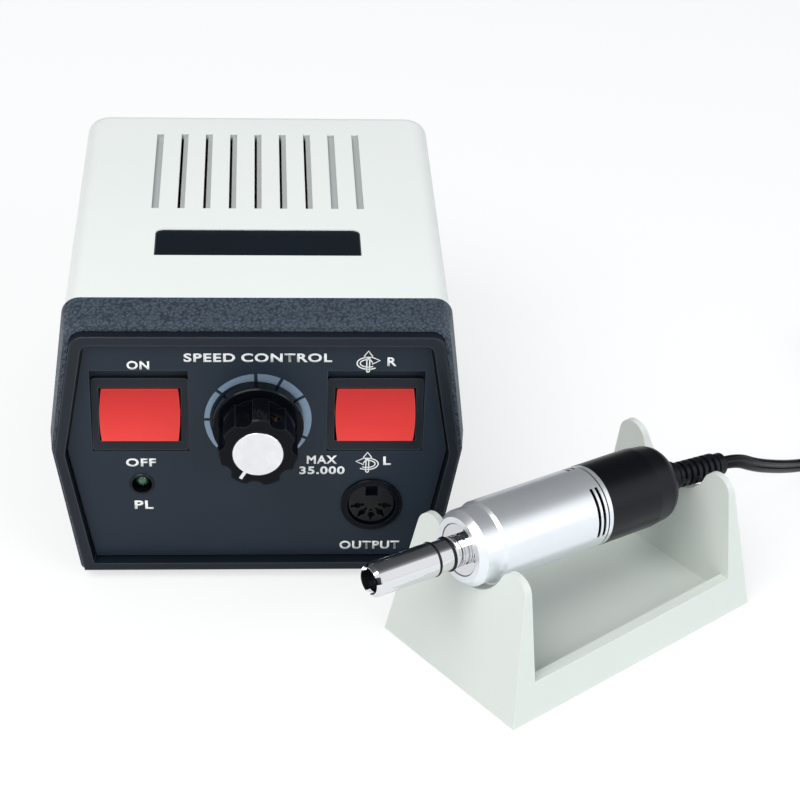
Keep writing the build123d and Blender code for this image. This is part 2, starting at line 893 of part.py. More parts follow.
def knob_cap():
    face = knob_plane()
    cap = rod(face, knob_cap_radius, knob_height - knob_cap_recess, knob_height + knob_cap_proud)
    cap = fillet(cap.edges().sort_by(Axis.Y)[0], knob_cap_proud / 2)
    return cap + pointer_bar(0)


def knob_set_screw():
    spoke = knob_plane() * Pos(0, 0, set_screw_height) * Rot(0, 0, knob_pointer_angle + 180) * Rot(0, 90, 0)
    body = set_screw_bar(0, 0)
    end = knob_rib_radius - knob_scallop_depth - set_screw_radius / 2
    return body - bar(Plane(spoke), 0, 0, set_screw_radius * 3, screw_slot_width, end - screw_slot_depth,
                      end + overrun)


def potentiometer_shaft():
    face = knob_plane()
    return rod(face, shaft_radius, -panel_thickness - pot_shaft_tail, shaft_end_height)


def potentiometer_body():
    face = knob_plane()
    back = -panel_thickness - pot_body_depth
    body = rod(face, pot_body_radius, back, -panel_thickness)
    body += rod(face, bushing_radius, -panel_thickness, knob_panel_gap + nut_thickness)
    body -= rod(face, shaft_radius + running_gap, -panel_thickness - pot_shaft_tail - slip_gap,
                knob_panel_gap + nut_thickness + overrun)
    for row in (-1, 0, 1):
        body += bar(face, row * pot_lug_pitch, -pot_body_radius, pot_lug_width, pot_lug_length,
                    back + pot_lug_thickness, back + pot_lug_thickness * 2)
    return body


def potentiometer_nut():
    face = knob_plane()
    hexagon = RegularPolygon(nut_across_flats / 2, 6, major_radius=False)
    nut = extrude(face * hexagon, nut_thickness)
    return nut - rod(face, bushing_radius, -overrun, nut_thickness + overrun)


def lamp_bezel():
    face = depth_plane(panel_y, lamp_offset, base_z + lamp_rise)
    ring = rod(face, lamp_rim_radius, 0, lamp_rim_proud)
    ring = chamfer(ring.edges().sort_by(Axis.Y)[0], lamp_rim_proud / 2)
    ring += rod(face, lamp_tube_radius, -lamp_tube_depth, 0)
    return ring - rod(face, lamp_hole_radius, -lamp_tube_depth - overrun, lamp_rim_proud + overrun)


def pilot_lamp():
    face = depth_plane(panel_y, lamp_offset, base_z + lamp_rise)
    tip = -lamp_recess
    lamp = rod(face, lamp_radius, tip - lamp_body_length, tip)
    lamp = fillet(lamp.edges().sort_by(Axis.Y)[0], lamp_radius - slip_gap)
    lamp += rod(face, lamp_hole_radius, tip - lamp_body_length,
                tip - lamp_body_length + lamp_flange_thickness)
    for side in (-1, 1):
        lamp += rod(face * Pos(side * lamp_lead_pitch / 2, 0, 0), lamp_lead_radius,
                    tip - lamp_body_length - lamp_lead_length, tip - lamp_body_length)
    return lamp


def socket_plane():
    return depth_plane(panel_y, socket_offset, base_z + socket_rise)


def output_socket_shell():
    face = socket_plane()
    shell = rod(face, socket_flange_radius, 0, socket_flange_thickness)
    shell = fillet(shell.edges().sort_by(Axis.Y)[0], socket_flange_thickness / 2)
    shell += rod(face, socket_body_radius, -socket_body_depth, 0)
    return shell - rod(face, socket_mouth_radius, -socket_body_depth - overrun,
                       socket_flange_thickness + overrun)


def contact_places():
    middle = (contact_count - 1) / 2
    return [270 + (index - middle) * contact_spread for index in range(contact_count)]


def output_socket_insert():
    face = socket_plane()
    front = socket_flange_thickness - socket_insert_setback
    back = front - socket_insert_depth
    insert = rod(face, socket_mouth_radius, back, back + socket_insert_base)
    insert += rod(face, socket_insert_radius, back, front)
    insert -= bar(face, 0, socket_insert_radius - socket_key_depth / 2, socket_key_width,
                  socket_key_depth + slip_gap,
                  front - contact_depth, front + overrun)
    for angle in contact_places():
        spoke = face * Rot(0, 0, angle) * Pos(contact_circle_radius, 0, 0)
        insert -= bar(Plane(spoke), 0, 0, contact_slot_length, contact_slot_width, front - contact_depth,
                      front + overrun)
        insert -= rod(Plane(spoke), contact_hole_radius, back - overrun, front + overrun)
    return insert


def output_socket_contacts():
    face = socket_plane()
    front = socket_flange_thickness - socket_insert_setback
    back = front - socket_insert_depth
    pieces = []
    for angle in contact_places():
        spoke = Plane(face * Rot(0, 0, angle) * Pos(contact_circle_radius, 0, 0))
        pieces.append(tube(spoke, contact_hole_radius - slip_gap / 3, contact_bore_radius,
                           back - contact_tail, front - contact_depth))
    return joined(pieces)


def rear_plane(x):
    """A place on the rear panel's outer face, with Z pointing out at the back."""
    origin = (x, back_y + rear_thickness, base_z + rear_mid_rise)
    return Plane(origin=origin, x_dir=(-1, 0, 0), z_dir=(0, 1, 0))


def rear_panel():
    middle = base_z + rear_mid_rise
    plate = block(-rear_width / 2, rear_width / 2, back_y, back_y + rear_thickness,
                  middle - rear_height / 2, middle + rear_height / 2)
    for x, z in rear_screw_places():
        plate -= rod(depth_plane(back_y + rear_thickness + overrun, x, z), screw_radius + slip_gap,
                     0, rear_thickness + overrun * 2)
    cut_from = -rear_thickness - overrun
    plate -= rod(rear_plane(gland_offset), gland_body_radius + slip_gap, cut_from, overrun)
    plate -= rod(rear_plane(fuse_offset), fuse_body_radius + slip_gap, cut_from, overrun)
    plate -= rod(rear_plane(pedal_offset), pedal_body_radius + slip_gap, cut_from, overrun)
    plate -= bar(rear_plane(selector_offset), 0, 0, selector_knob_width + selector_travel + slip_gap * 2,
                 selector_knob_height + slip_gap * 2, cut_from, overrun)
    return plate


def mains_gland():
    face = rear_plane(gland_offset)
    gland = rod(face, gland_flange_radius, 0, gland_flange_depth)
    gland = fillet(gland.edges().sort_by(Axis.Y)[-1], gland_flange_depth / 3)
    gland += rod(face, gland_body_radius, -rear_thickness - gland_inner_depth, 0)
    nut = extrude(face * RegularPolygon(gland_nut_radius, 6), gland_nut_depth)
    gland += Pos(0, -rear_thickness - gland_nut_depth, 0) * nut
    return gland - rod(face, gland_bore_radius, -rear_thickness - gland_inner_depth - overrun,
                       gland_flange_depth + overrun)


def fuse_holder():
    face = rear_plane(fuse_offset)
    holder = rod(face, fuse_flange_radius, 0, fuse_flange_depth)
    holder += rod(face, fuse_body_radius, -fuse_body_depth, 0)
    return holder - rod(face, fuse_bore_radius, -fuse_body_depth + shell_wall, fuse_flange_depth + overrun)


def fuse_cap():
    face = rear_plane(fuse_offset)
    base = fuse_flange_depth + seat_gap
    cap = rod(face, fuse_cap_radius, base, base + fuse_cap_height)
    cap = chamfer(cap.edges().sort_by(Axis.Y)[-1], fuse_cap_slot_width / 2)
    cap += rod(face, fuse_stem_radius, -fuse_stem_length, base)
    return cap - bar(face, 0, 0, fuse_cap_radius * 3, fuse_cap_slot_width,
                     base + fuse_cap_height - fuse_cap_slot_depth, base + fuse_cap_height + overrun)


def foot_control_socket():
    face = rear_plane(pedal_offset)
    socket = rod(face, pedal_flange_radius, 0, pedal_flange_depth)
    socket += rod(face, pedal_body_radius, -pedal_body_depth, 0)
    socket -= rod(face, pedal_mouth_radius, -pedal_mouth_depth, pedal_flange_depth + overrun)
    for index in range(pedal_pin_count):
        spoke = Plane(face * Rot(0, 0, 90 + index * 360 / pedal_pin_count) * Pos(pedal_pin_circle, 0, 0))
        socket += rod(spoke, pedal_pin_radius, -pedal_mouth_depth - overrun, -overrun)
    return socket


def control_selector_body():
    face = rear_plane(selector_offset)
    front = -rear_thickness
    body = bar(face, 0, 0, selector_width, selector_height, front - selector_depth, front)
    run = selector_knob_width + selector_travel * 2 + slip_gap * 2
    return body - bar(face, 0, 0, run + selector_wall, selector_shoe_height + slip_gap * 2,
                      front - selector_shoe_depth - slip_gap, front + overrun)


def control_selector_slider():
    face = rear_plane(selector_offset)
    shift = selector_travel / 2
    front = -rear_thickness - slip_gap
    slider = bar(face, shift, 0, selector_knob_width + selector_travel, selector_shoe_height,
                 front - selector_shoe_depth + slip_gap, front)
    return slider + bar(face, shift, 0, selector_knob_width, selector_knob_height, front, selector_knob_proud)


def core_floor():
    return well_z + core_pad + clamp_thickness


def transformer_core():
    low = core_floor()
    half = core_width / 2
    outer = block(core_x - core_depth / 2, core_x + core_depth / 2, core_y - half, core_y + half, low,
                  low + core_height)
    window_high = low + core_height - core_limb
    for side in (-1, 1):
        ends = sorted((core_y + side * core_limb, core_y + side * (half - core_limb)))
        outer -= block(core_x - core_depth / 2 - overrun, core_x + core_depth / 2 + overrun,
                       ends[0], ends[1], low + core_limb, window_high)
    return outer


def transformer_winding():
    low = core_floor() + core_limb + slip_gap
    high = core_floor() + core_height - core_limb - slip_gap
    half_y = core_width / 2 - core_limb - slip_gap
    half_x = core_depth / 2 + winding_end
    wound = block(core_x - half_x, core_x + half_x, core_y - half_y, core_y + half_y, low, high)
    wound = fillet(wound.edges().filter_by(Axis.Z), winding_side / 2)
    half_bore = core_limb + slip_gap
    half_depth = core_depth / 2 + slip_gap
    return wound - block(core_x - half_depth, core_x + half_depth, core_y - half_bore, core_y + half_bore,
                         low - overrun, high + overrun)


def transformer_clamp():
    """A strap bent over the core, with a foot at each end."""
    low = well_z + core_pad
    top = core_floor() + core_height
    half = core_width / 2
    strap_half = core_depth / 3
    clamp = block(core_x - strap_half, core_x + strap_half, core_y - half - clamp_thickness,
                  core_y + half + clamp_thickness, top, top + clamp_thickness)
    for side in (-1, 1):
        wall = sorted((core_y + side * half, core_y + side * (half + clamp_thickness)))
        clamp += block(core_x - strap_half, core_x + strap_half, wall[0], wall[1], low, top + clamp_thickness)
        foot = sorted((core_y + side * half, core_y + side * (half + clamp_thickness + clamp_foot)))
        clamp += block(core_x - strap_half, core_x + strap_half, foot[0], foot[1], low, low + clamp_thickness)
    for y in clamp_screw_places():
        clamp -= rod(Plane(origin=(core_x, y, 0)), screw_radius + slip_gap, low - overrun,
                     low + clamp_thickness + overrun)
    return clamp


def clamp_screw_places():
    reach = core_width / 2 + clamp_thickness + clamp_foot / 2
    return [core_y - reach, core_y + reach]


def transformer_screws():
    top = well_z + core_pad + clamp_thickness
    length = clamp_thickness + core_pad
    return joined([screw(Plane(origin=(core_x, y, top)), length) for y in clamp_screw_places()])


def board_top():
    return well_z + board_post_height + board_thickness


def circuit_board():
    board = block(board_x - board_width / 2, board_x + board_width / 2, board_y - board_length / 2,
                  board_y + board_length / 2, well_z + board_post_height, board_top())
    relay = block(board_x - relay_width / 2, board_x + relay_width / 2, board_y + relay_y - relay_length / 2,
                  board_y + relay_y + relay_length / 2, board_top(), board_top() + relay_height)
    return board + relay


def filter_capacitor():
    place = Plane(origin=(board_x, board_y + capacitor_y - capacitor_radius, board_top()))
    can = rod(place, capacitor_radius, 0, capacitor_height)
    return fillet(can.edges(), overrun)


def heat_sink():
    y = board_y + sink_y
    half = sink_width / 2
    sink = block(board_x - half, board_x + half, y, y + sink_thickness, board_top(),
                 board_top() + sink_height)
    for index in range(sink_fins):
        x = board_x - half + index * (sink_width - sink_fin_thickness) / (sink_fins - 1)
        sink += block(x, x + sink_fin_thickness, y, y + sink_fin_depth, board_top(),
                      board_top() + sink_height)
    return sink


def cradle_plane():
    turn = radians(cradle_turn)
    return Plane(origin=(cradle_x, cradle_y, 0), x_dir=(cos(turn), sin(turn), 0), z_dir=(0, 0, 1))


def cradle_outline():
    """The end wall's outline across the cradle: two round horns with a round notch between."""
    half = cradle_width / 2
    horn = Vector(cradle_horn_spread, cradle_height - cradle_horn_radius)
    reach = horn.Y - cradle_notch_bottom + cradle_horn_radius
    rise = (horn.X * horn.X - reach * reach) / (reach * 2)
    notch = Vector(0, horn.Y + rise)
    away = Vector(half, 0)
    span = (horn - away).length
    slope = atan2(horn.Y, horn.X - half) - asin(cradle_horn_radius / span)
    first = slope - pi / 2
    last = atan2(rise, -horn.X)
    right = [horn + Vector(cos(angle), sin(angle)) * cradle_horn_radius
             for angle in (first, (first + last) / 2, last)]
    left = [Vector(-point.X, point.Y) for point in reversed(right)]
    low = Vector(0, cradle_notch_bottom)
    return make_face([
        Line((-half, 0), (half, 0)), Line((half, 0), right[0]), ThreePointArc(*right),
        ThreePointArc(right[-1], low, left[0]), ThreePointArc(*left), Line(left[-1], (-half, 0)),
    ])


def handpiece_cradle():
    place = cradle_plane()
    half = cradle_length / 2
    across = Plane(origin=(-half, 0, 0), x_dir=(0, 1, 0), z_dir=(1, 0, 0))
    body = extrude(across * cradle_outline(), cradle_length)
    lean = cradle_end_lean
    side_view = polygon([(-half, 0), (half, 0), (half - lean, cradle_height), (-half + lean, cradle_height)])
    along = Plane(origin=(0, cradle_width / 2, 0), x_dir=(1, 0, 0), z_dir=(0, -1, 0))
    body = body & extrude(along * side_view, cradle_width)
    inner = cradle_end_inner
    body -= block(-inner, inner, -cradle_width, cradle_width, cradle_rail_height, cradle_height + overrun)
    rail_inner = cradle_width / 2 - cradle_rail_wall - cradle_side_lean * cradle_rail_height / cradle_height
    body -= block(-inner, inner, -rail_inner, rail_inner, cradle_floor, cradle_rail_height + overrun)
    under_half = half - cradle_shell * 2
    under_wide = cradle_width / 2 - cradle_shell * 2
    body -= block(-under_half, under_half, -under_wide, under_wide, -overrun, cradle_floor - cradle_shell)
    return place * body


def axis_plane():
    """The handpiece's axis: Z runs from the nose tip to the cord."""
    turn = radians(handpiece_turn)
    drop = radians(handpiece_drop)
    along = Vector(cos(turn) * cos(drop), sin(turn) * cos(drop), -sin(drop))
    cradle = cradle_plane()
    saddle = cradle.from_local_coords((-cradle_length / 2 + cradle_end_lean, 0, 0))
    height = cradle_notch_bottom + housing_radius + rest_gap / cos(drop)
    seat = Vector(saddle.X, saddle.Y, height)
    tip = seat - along * saddle_station
    return Plane(origin=tip, x_dir=(sin(turn), -cos(turn), 0), z_dir=along)


def motor_nose():
    axis = axis_plane()
    front = face_station + flange_sunk
    tip = nose_tip_radius
    body = turned(axis, [
        (nose_mouth_radius, 0), (nose_radius - tip, 0), (nose_radius, tip), (nose_radius, ring_stations[0]),
        (nose_land_radius, ring_stations[0]), (nose_land_radius, nose_length),
        (neck_radius, nose_length), (neck_radius, front), (flange_radius, front),
        (flange_radius, front + flange_thickness), (nose_inner_radius, front + flange_thickness),
        (nose_inner_radius, nose_bore_depth), (nose_bore_radius, nose_bore_depth),
        (nose_bore_radius, nose_mouth_depth), (nose_mouth_radius, nose_mouth_depth),
    ])
    for station in ring_stations:
        body -= ring_groove(station)
    pitch = (front - nose_length) / (neck_ribs + 1)
    for index in range(neck_ribs):
        middle = nose_length + pitch * (index + 1)
        body += tube(axis, neck_rib_radius, neck_radius - slip_gap, middle - neck_rib_width / 2,
                     middle + neck_rib_width / 2)
    for index in range(nose_notches):
        spoke = Plane(axis * Rot(0, 0, 90 + index * 360 / nose_notches) * Pos(nose_radius, 0, 0))
        body -= bar(spoke, 0, 0, nose_radius, nose_notch_width, -overrun, nose_notch_depth)
    return body


def ring_groove(station):
    floor = nose_land_radius - ring_sunk - running_gap / 2
    half = ring_section_radius + running_gap
    return tube(axis_plane(), nose_radius + overrun, floor, station - half, station + half)


def nose_o_rings():
    axis = axis_plane()
    middle = nose_land_radius - ring_sunk + ring_section_radius
    rings = [Solid.make_torus(middle, ring_section_radius, axis.offset(station)) for station in ring_stations]
    return joined(rings)


def collar_back():
    return face_station + collar_length


def front_collar():
    axis = axis_plane()
    back = front_bearing_station + bearing_width
    bore = flange_radius + seat_gap
    deep = face_station + flange_sunk + flange_thickness
    seat = bearing_radius
    liner = housing_radius - housing_wall - slip_gap / 3
    outline = [
        (bore, face_station), (collar_face_radius, face_station),
        (collar_radius, face_station + collar_round), (collar_radius, collar_back() - collar_step),
        (housing_radius, collar_back()), (liner, collar_back()), (liner, back + collar_step),
        (seat - collar_step, back + collar_step), (seat - collar_step, back), (seat, back), (seat, deep),
        (bore, deep),
    ]
    return turned(axis, outline)


def motor_housing():
    axis = axis_plane()
    inner = housing_radius - housing_wall
    end = housing_end_station
    groove = end - rim_width
    body = turned(axis, [
        (inner, collar_back()), (housing_radius, collar_back()),
        (housing_radius, groove - rim_groove_width),
        (housing_radius - rim_groove_depth, groove - rim_groove_width),
        (housing_radius - rim_groove_depth, groove), (housing_radius, groove), (housing_radius, end),
        (inner, end),
    ])
    for station in vent_ring_stations:
        for index in range(vent_sets):
            body -= arc_slot(axis, station, vent_first_angle + index * 360 / vent_sets)
    return body


def arc_slot(axis, station, first):
    """A slot through the housing wall, part of the way round."""
    ring = tube(axis, housing_radius + overrun, housing_radius - housing_wall - overrun,
                station - vent_ring_width / 2, station + vent_ring_width / 2)
    reach = housing_radius * 3
    corners = [(reach * cos(radians(first + vent_arc * share)),
                reach * sin(radians(first + vent_arc * share)))
               for share in (0, 1 / 2, 1)]
    wedge = polygon([(0, 0)] + corners)
    return ring & extrude(axis.offset(station - vent_ring_width) * wedge, vent_ring_width * 2)


def cap_end():
    return housing_end_station + cap_length


def rear_cap():
    axis = axis_plane()
    start = housing_end_station
    end = cap_end()
    lip = housing_radius - housing_wall - slip_gap / 3
    inner = cap_radius - cap_wall
    seat = back_bearing_station
    profile = make_face([
        Polyline((lip, start), (cap_radius, start), (cap_radius, start + cap_straight),
                 (cap_end_radius, end - cap_round)),
        ThreePointArc((cap_end_radius, end - cap_round),
                      (cap_end_radius - cap_round * (1 - cos(radians(45))),
                       end - cap_round * (1 - sin(radians(45)))),
                      (cap_end_radius - cap_round, end)),
        Polyline((cap_end_radius - cap_round, end), (boot_core_radius + slip_gap, end),
                 (boot_core_radius + slip_gap, end - cap_wall * 2), (bearing_radius, end - cap_wall * 2),
                 (bearing_radius, seat), (inner, seat), (inner, start - cap_wall), (lip, start - cap_wall),
                 (lip, start)),
    ])
    upright = Plane(origin=(0, 0, 0), x_dir=(1, 0, 0), z_dir=(0, -1, 0)) * profile
    return axis * revolve(upright, Axis.Z)


def boot_plane():
    """The boot hangs a little: Z runs out along it, from just clear of the cap's end."""
    root = axis_plane().offset(cap_end() + boot_step)
    return Plane(root * Rot(-boot_droop, 0, 0))


def strain_relief():
    """The ribbed boot: rings on a core, joined by webs that change side from gap to gap."""
    axis = axis_plane()
    start = cap_end()
    body = rod(axis, boot_core_radius, start - cap_wall * 2 + slip_gap, start)
    body += rod(axis, boot_root_radius + boot_flange_margin, start, start + boot_step)
    boot = boot_plane()
    body += rod(boot, boot_core_radius, -boot_step / 2, boot_length)
    body += rod(boot, boot_root_radius, -boot_step / 2, boot_root_length)
    body += rod(boot, boot_end_radius, boot_length - boot_end_length, boot_length)
    span = boot_length - boot_root_length - boot_end_length
    pitch = span / (boot_ribs + 1 / 2)
    for index in range(boot_ribs):
        low = boot_root_length + pitch * (index + 1 / 2)
        body += rod(boot, boot_rib_radius, low, low + pitch / 2)
        web_turn = 0 if index % 2 else 90
        body += bar(Plane(boot * Rot(0, 0, web_turn)), 0, 0, boot_rib_radius * 2 - slip_gap, boot_web,
                    low - pitch / 2, low)
    return body


def rotor_shaft():
    return rod(axis_plane(), rotor_shaft_radius, rotor_front_station, rotor_back_station)


def drive_dog():
    axis = axis_plane()
    end = dog_front_station + dog_length
    dog = rod(axis, dog_radius, dog_front_station, end)
    dog -= bar(axis, 0, 0, dog_radius * 3, dog_slot_width, dog_front_station - overrun,
               dog_front_station + dog_slot_depth)
    return dog - rod(axis, rotor_shaft_radius, rotor_front_station, end + overrun)


def rotor_armature():
    axis = axis_plane()
    end = armature_station + armature_length
    body = tube(axis, armature_radius, rotor_shaft_radius, armature_station, end)
    for index in range(armature_slots):
        spoke = Plane(axis * Rot(0, 0, index * 360 / armature_slots) * Pos(armature_radius, 0, 0))
        body -= bar(spoke, 0, 0, armature_slot_depth * 2, armature_slot_width, armature_station - overrun,
                    end + overrun)
    return body


def rotor_commutator():
    axis = axis_plane()
    end = commutator_station + commutator_length
    return tube(axis, commutator_radius, rotor_shaft_radius, commutator_station, end)


def rotor_bearings():
    axis = axis_plane()
    pieces = []
    for station in (front_bearing_station, back_bearing_station):
        pieces.append(tube(axis, bearing_radius, rotor_shaft_radius + running_gap, station,
                           station + bearing_width))
    return joined(pieces)


def field_magnets():
    axis = axis_plane()
    outer = housing_radius - housing_wall
    end = armature_station + armature_length
    shell = tube(axis, outer, outer - magnet_thickness, armature_station, end)
    reach = outer * 3
    pieces = []
    for side in (0, 180):
        low = side - magnet_arc / 2
        corners = [(reach * cos(radians(low + magnet_arc * share)),
                    reach * sin(radians(low + magnet_arc * share)))
                   for share in (0, 1 / 2, 1)]
        wedge = polygon([(0, 0)] + corners)
        pieces.append(shell & extrude(axis.offset(armature_station - overrun) * wedge,
                                      armature_length + overrun * 2))
    return joined(pieces)


def brush_plane(side):
    axis = axis_plane()
    return Plane(axis * Pos(0, 0, brush_station) * Rot(0, side * 90, 0))


def carbon_brushes():
    start = commutator_radius + brush_gap
    return joined([bar(brush_plane(side), 0, 0, brush_side, brush_side, start, start + brush_length)
                   for side in (-1, 1)])


def brush_holders():
    axis = axis_plane()
    half = holder_ring_depth / 2
    ring = tube(axis, holder_ring_radius, holder_bore_radius, brush_station - half, brush_station + half)
    for side in (-1, 1):
        ring -= bar(brush_plane(side), 0, 0, brush_side + slip_gap, brush_side + slip_gap, 0,
                    holder_ring_radius - slip_gap * 2)
    return ring


def brush_springs():
    start = commutator_radius + brush_gap + brush_length
    end = holder_ring_radius - slip_gap * 3
    length = end - start
    springs = []
    for side in (-1, 1):
        place = brush_plane(side)
        path = Helix(length / spring_turns, length - spring_wire_radius * 2, spring_radius)
        begin = path @ 0
        section = Plane(origin=begin, z_dir=path % 0) * Circle(spring_wire_radius)
        coil = sweep(section, path, is_frenet=True)
        springs.append(place * Pos(0, 0, start + spring_wire_radius) * coil)
    return joined(springs)


def coil_point(turned_by):
    """A point of the wound cord after so many turns: in on the lower layer, out on the upper."""
    per_layer = coil_turns / coil_layers
    pitch = cord_radius * 2 + cord_pitch_gap
    inward = min(turned_by, coil_turns - turned_by)
    radius = coil_outer_radius - pitch * inward
    climb = (turned_by - per_layer + 1 / 4) * 2
    climb = min(max(climb, 0), 1)
    low = tie_thickness + cord_radius
    z = low + (cord_radius * 2 + cord_pitch_gap) * climb
    angle = radians(coil_start_angle + 360 * turned_by)
    return Vector(coil_x + radius * cos(angle), coil_y + radius * sin(angle), z)


def coil_tangent(turned_by):
    angle = radians(coil_start_angle + 360 * turned_by)
    return Vector(-sin(angle), cos(angle), 0)


def biarc(start, start_dir, end, end_dir):
    """Two tangent arcs from one point and direction to another."""
    span = end - start
    total = start_dir + end_dir
    spread = 2 * (1 - start_dir.dot(end_dir))
    along = span.dot(total)
    reach = (sqrt(along * along + spread * span.dot(span)) - along) / spread
    middle = (start + end + (start_dir - end_dir) * reach) * (1 / 2)
    middle_dir = ((end - end_dir * reach) - (start + start_dir * reach)).normalized()
    return [TangentArc(start, middle, tangent=start_dir), TangentArc(middle, end, tangent=middle_dir)]


def coil_path():
    edges = [Line(coil_point(0) - coil_tangent(0) * cord_radius * 2, coil_point(0))]
    count = ceil(coil_turns * steps_per_turn)
    marks = [coil_turns * index / count for index in range(count + 1)]
    for low, high in zip(marks, marks[1:]):
        edges.extend(biarc(coil_point(low), coil_tangent(low), coil_point(high), coil_tangent(high)))
    last = coil_point(coil_turns)
    edges.append(Line(last, last + coil_tangent(coil_turns) * coil_lead_out))
    return Wire(edges)


def tube_along(wire):
    start = wire.position_at(0)
    section = Plane(origin=start, z_dir=wire.tangent_at(0)) * Circle(cord_radius)
    return sweep(section, wire)


def cord_exit():
    return boot_plane().from_local_coords((0, 0, boot_length))


def cord_points():
    end = coil_point(0) - coil_tangent(0) * cord_radius * 2
    first = cord_exit() + boot_plane().z_dir * cord_first_run
    return [cord_exit(), first] + [Vector(*point) for point in cord_route] + [end]


def cord_radii(points):
    """Each corner's arc: 0.45 of its shorter run, over the tangent of half the turn."""
    radii = []
    for before, here, after in zip(points, points[1:], points[2:]):
        turn = radians((here - before).get_angle(after - here))
        shorter = min((here - before).length, (after - here).length)
        radii.append(0.45 * shorter / tan(turn / 2))
    return radii


def motor_cord():
    points = cord_points()
    radii = cord_radii(points)
    print("cord runs", [round((b - a).length, 1) for a, b in zip(points, points[1:])])
    print("cord radii", [round(radius, 1) for radius in radii])
    path = FilletPolyline(*points, radius=radii)
    wire = Wire(path.edges())
    cord = tube_along(wire)
    print("free cord", round(wire.length, 1), "volume ratio",
          round(cord.volume / (pi * cord_radius ** 2 * wire.length), 4))
    return cord


def motor_cord_coil():
    wire = coil_path()
    cord = tube_along(wire)
    print("coil length", round(wire.length, 1), "volume ratio",
          round(cord.volume / (pi * cord_radius ** 2 * wire.length), 4))
    print("coil least gap", round(coil_least_gap(wire), 3))
    return cord


def coil_least_gap(wire):
    """The least gap of the wound cord to itself, measured on points a little apart."""
    step = cord_radius
    count = ceil(wire.length / step)
    points = [wire.position_at(index / count) for index in range(count + 1)]
    skip = ceil(coil_outer_radius / step)
    least = coil_outer_radius
    for index, point in enumerate(points):
        for other in points[index + skip:]:
            least = min(least, (other - point).length)
    return least - cord_radius * 2


def cord_tie():
    """A flat band round the wound turns."""
    pitch = cord_radius * 2 + cord_pitch_gap
    outer = coil_outer_radius + cord_radius + tie_gap
    inner = coil_outer_radius - pitch * coil_turns / coil_layers - cord_radius - tie_gap
    top = tie_thickness + cord_radius * 4 + cord_pitch_gap + tie_gap
    turn = radians(tie_angle)
    start = Plane(origin=(coil_x, coil_y, 0), x_dir=(cos(turn), sin(turn), 0),
                  z_dir=(sin(turn), -cos(turn), 0))
    outline = polygon([(inner - tie_thickness, 0), (outer + tie_thickness, 0),
                       (outer + tie_thickness, top + tie_thickness),
                       (inner - tie_thickness, top + tie_thickness)])
    hollow = polygon([(inner, tie_thickness - tie_gap), (outer, tie_thickness - tie_gap), (outer, top),
                      (inner, top)])
    return extrude(start * Pos(0, 0, -tie_width / 2) * (outline - hollow), tie_width)


def plug_plane():
    """The plug's axis: Z runs from the cord to the pins."""
    last = coil_point(coil_turns) + coil_tangent(coil_turns) * coil_lead_out
    return Plane(origin=last, x_dir=(1, 0, 0), z_dir=coil_tangent(coil_turns))


def plug_radius():
    return coil_point(coil_turns).Z - slip_gap


def motor_plug_body():
    axis = plug_plane()
    radius = plug_radius()
    end = plug_neck_length + plug_length
    body = turned(axis, [
        (0, 0), (plug_neck_radius, 0), (plug_neck_radius + overrun, plug_neck_length),
        (radius - overrun, plug_neck_length + overrun), (radius, plug_neck_length + overrun * 3),
        (radius, end - plug_end_chamfer), (radius - plug_end_chamfer, end), (0, end),
    ])
    for index in range(plug_grip_grooves):
        low = plug_neck_length + plug_length / 3 + index * plug_groove_width * 2
        body -= tube(axis, radius + overrun, radius - plug_groove_depth, low, low + plug_groove_width)
    return body - rod(axis, plug_skirt_radius, end - plug_skirt_seat, end + overrun)


def motor_plug_shell():
    axis = plug_plane()
    start = plug_neck_length + plug_length - plug_skirt_seat
    shell = rod(axis, plug_skirt_radius, start, start + plug_skirt_seat)
    shell += tube(axis, plug_skirt_radius, plug_skirt_radius - plug_skirt_wall, start,
                  start + plug_skirt_length)
    key_middle = plug_skirt_radius - plug_key_depth / 2
    key = bar(axis, 0, key_middle, plug_key_width, plug_key_depth, start, start + plug_skirt_length)
    return shell + (key & rod(axis, plug_skirt_radius, start, start + plug_skirt_length))


def motor_plug_pins():
    axis = plug_plane()
    start = plug_neck_length + plug_length
    pins = []
    for angle in contact_places():
        spoke = Plane(axis * Rot(0, 0, angle) * Pos(contact_circle_radius, 0, 0))
        pins.append(rod(spoke, plug_pin_radius, start, start + plug_pin_length))
    return joined(pins)


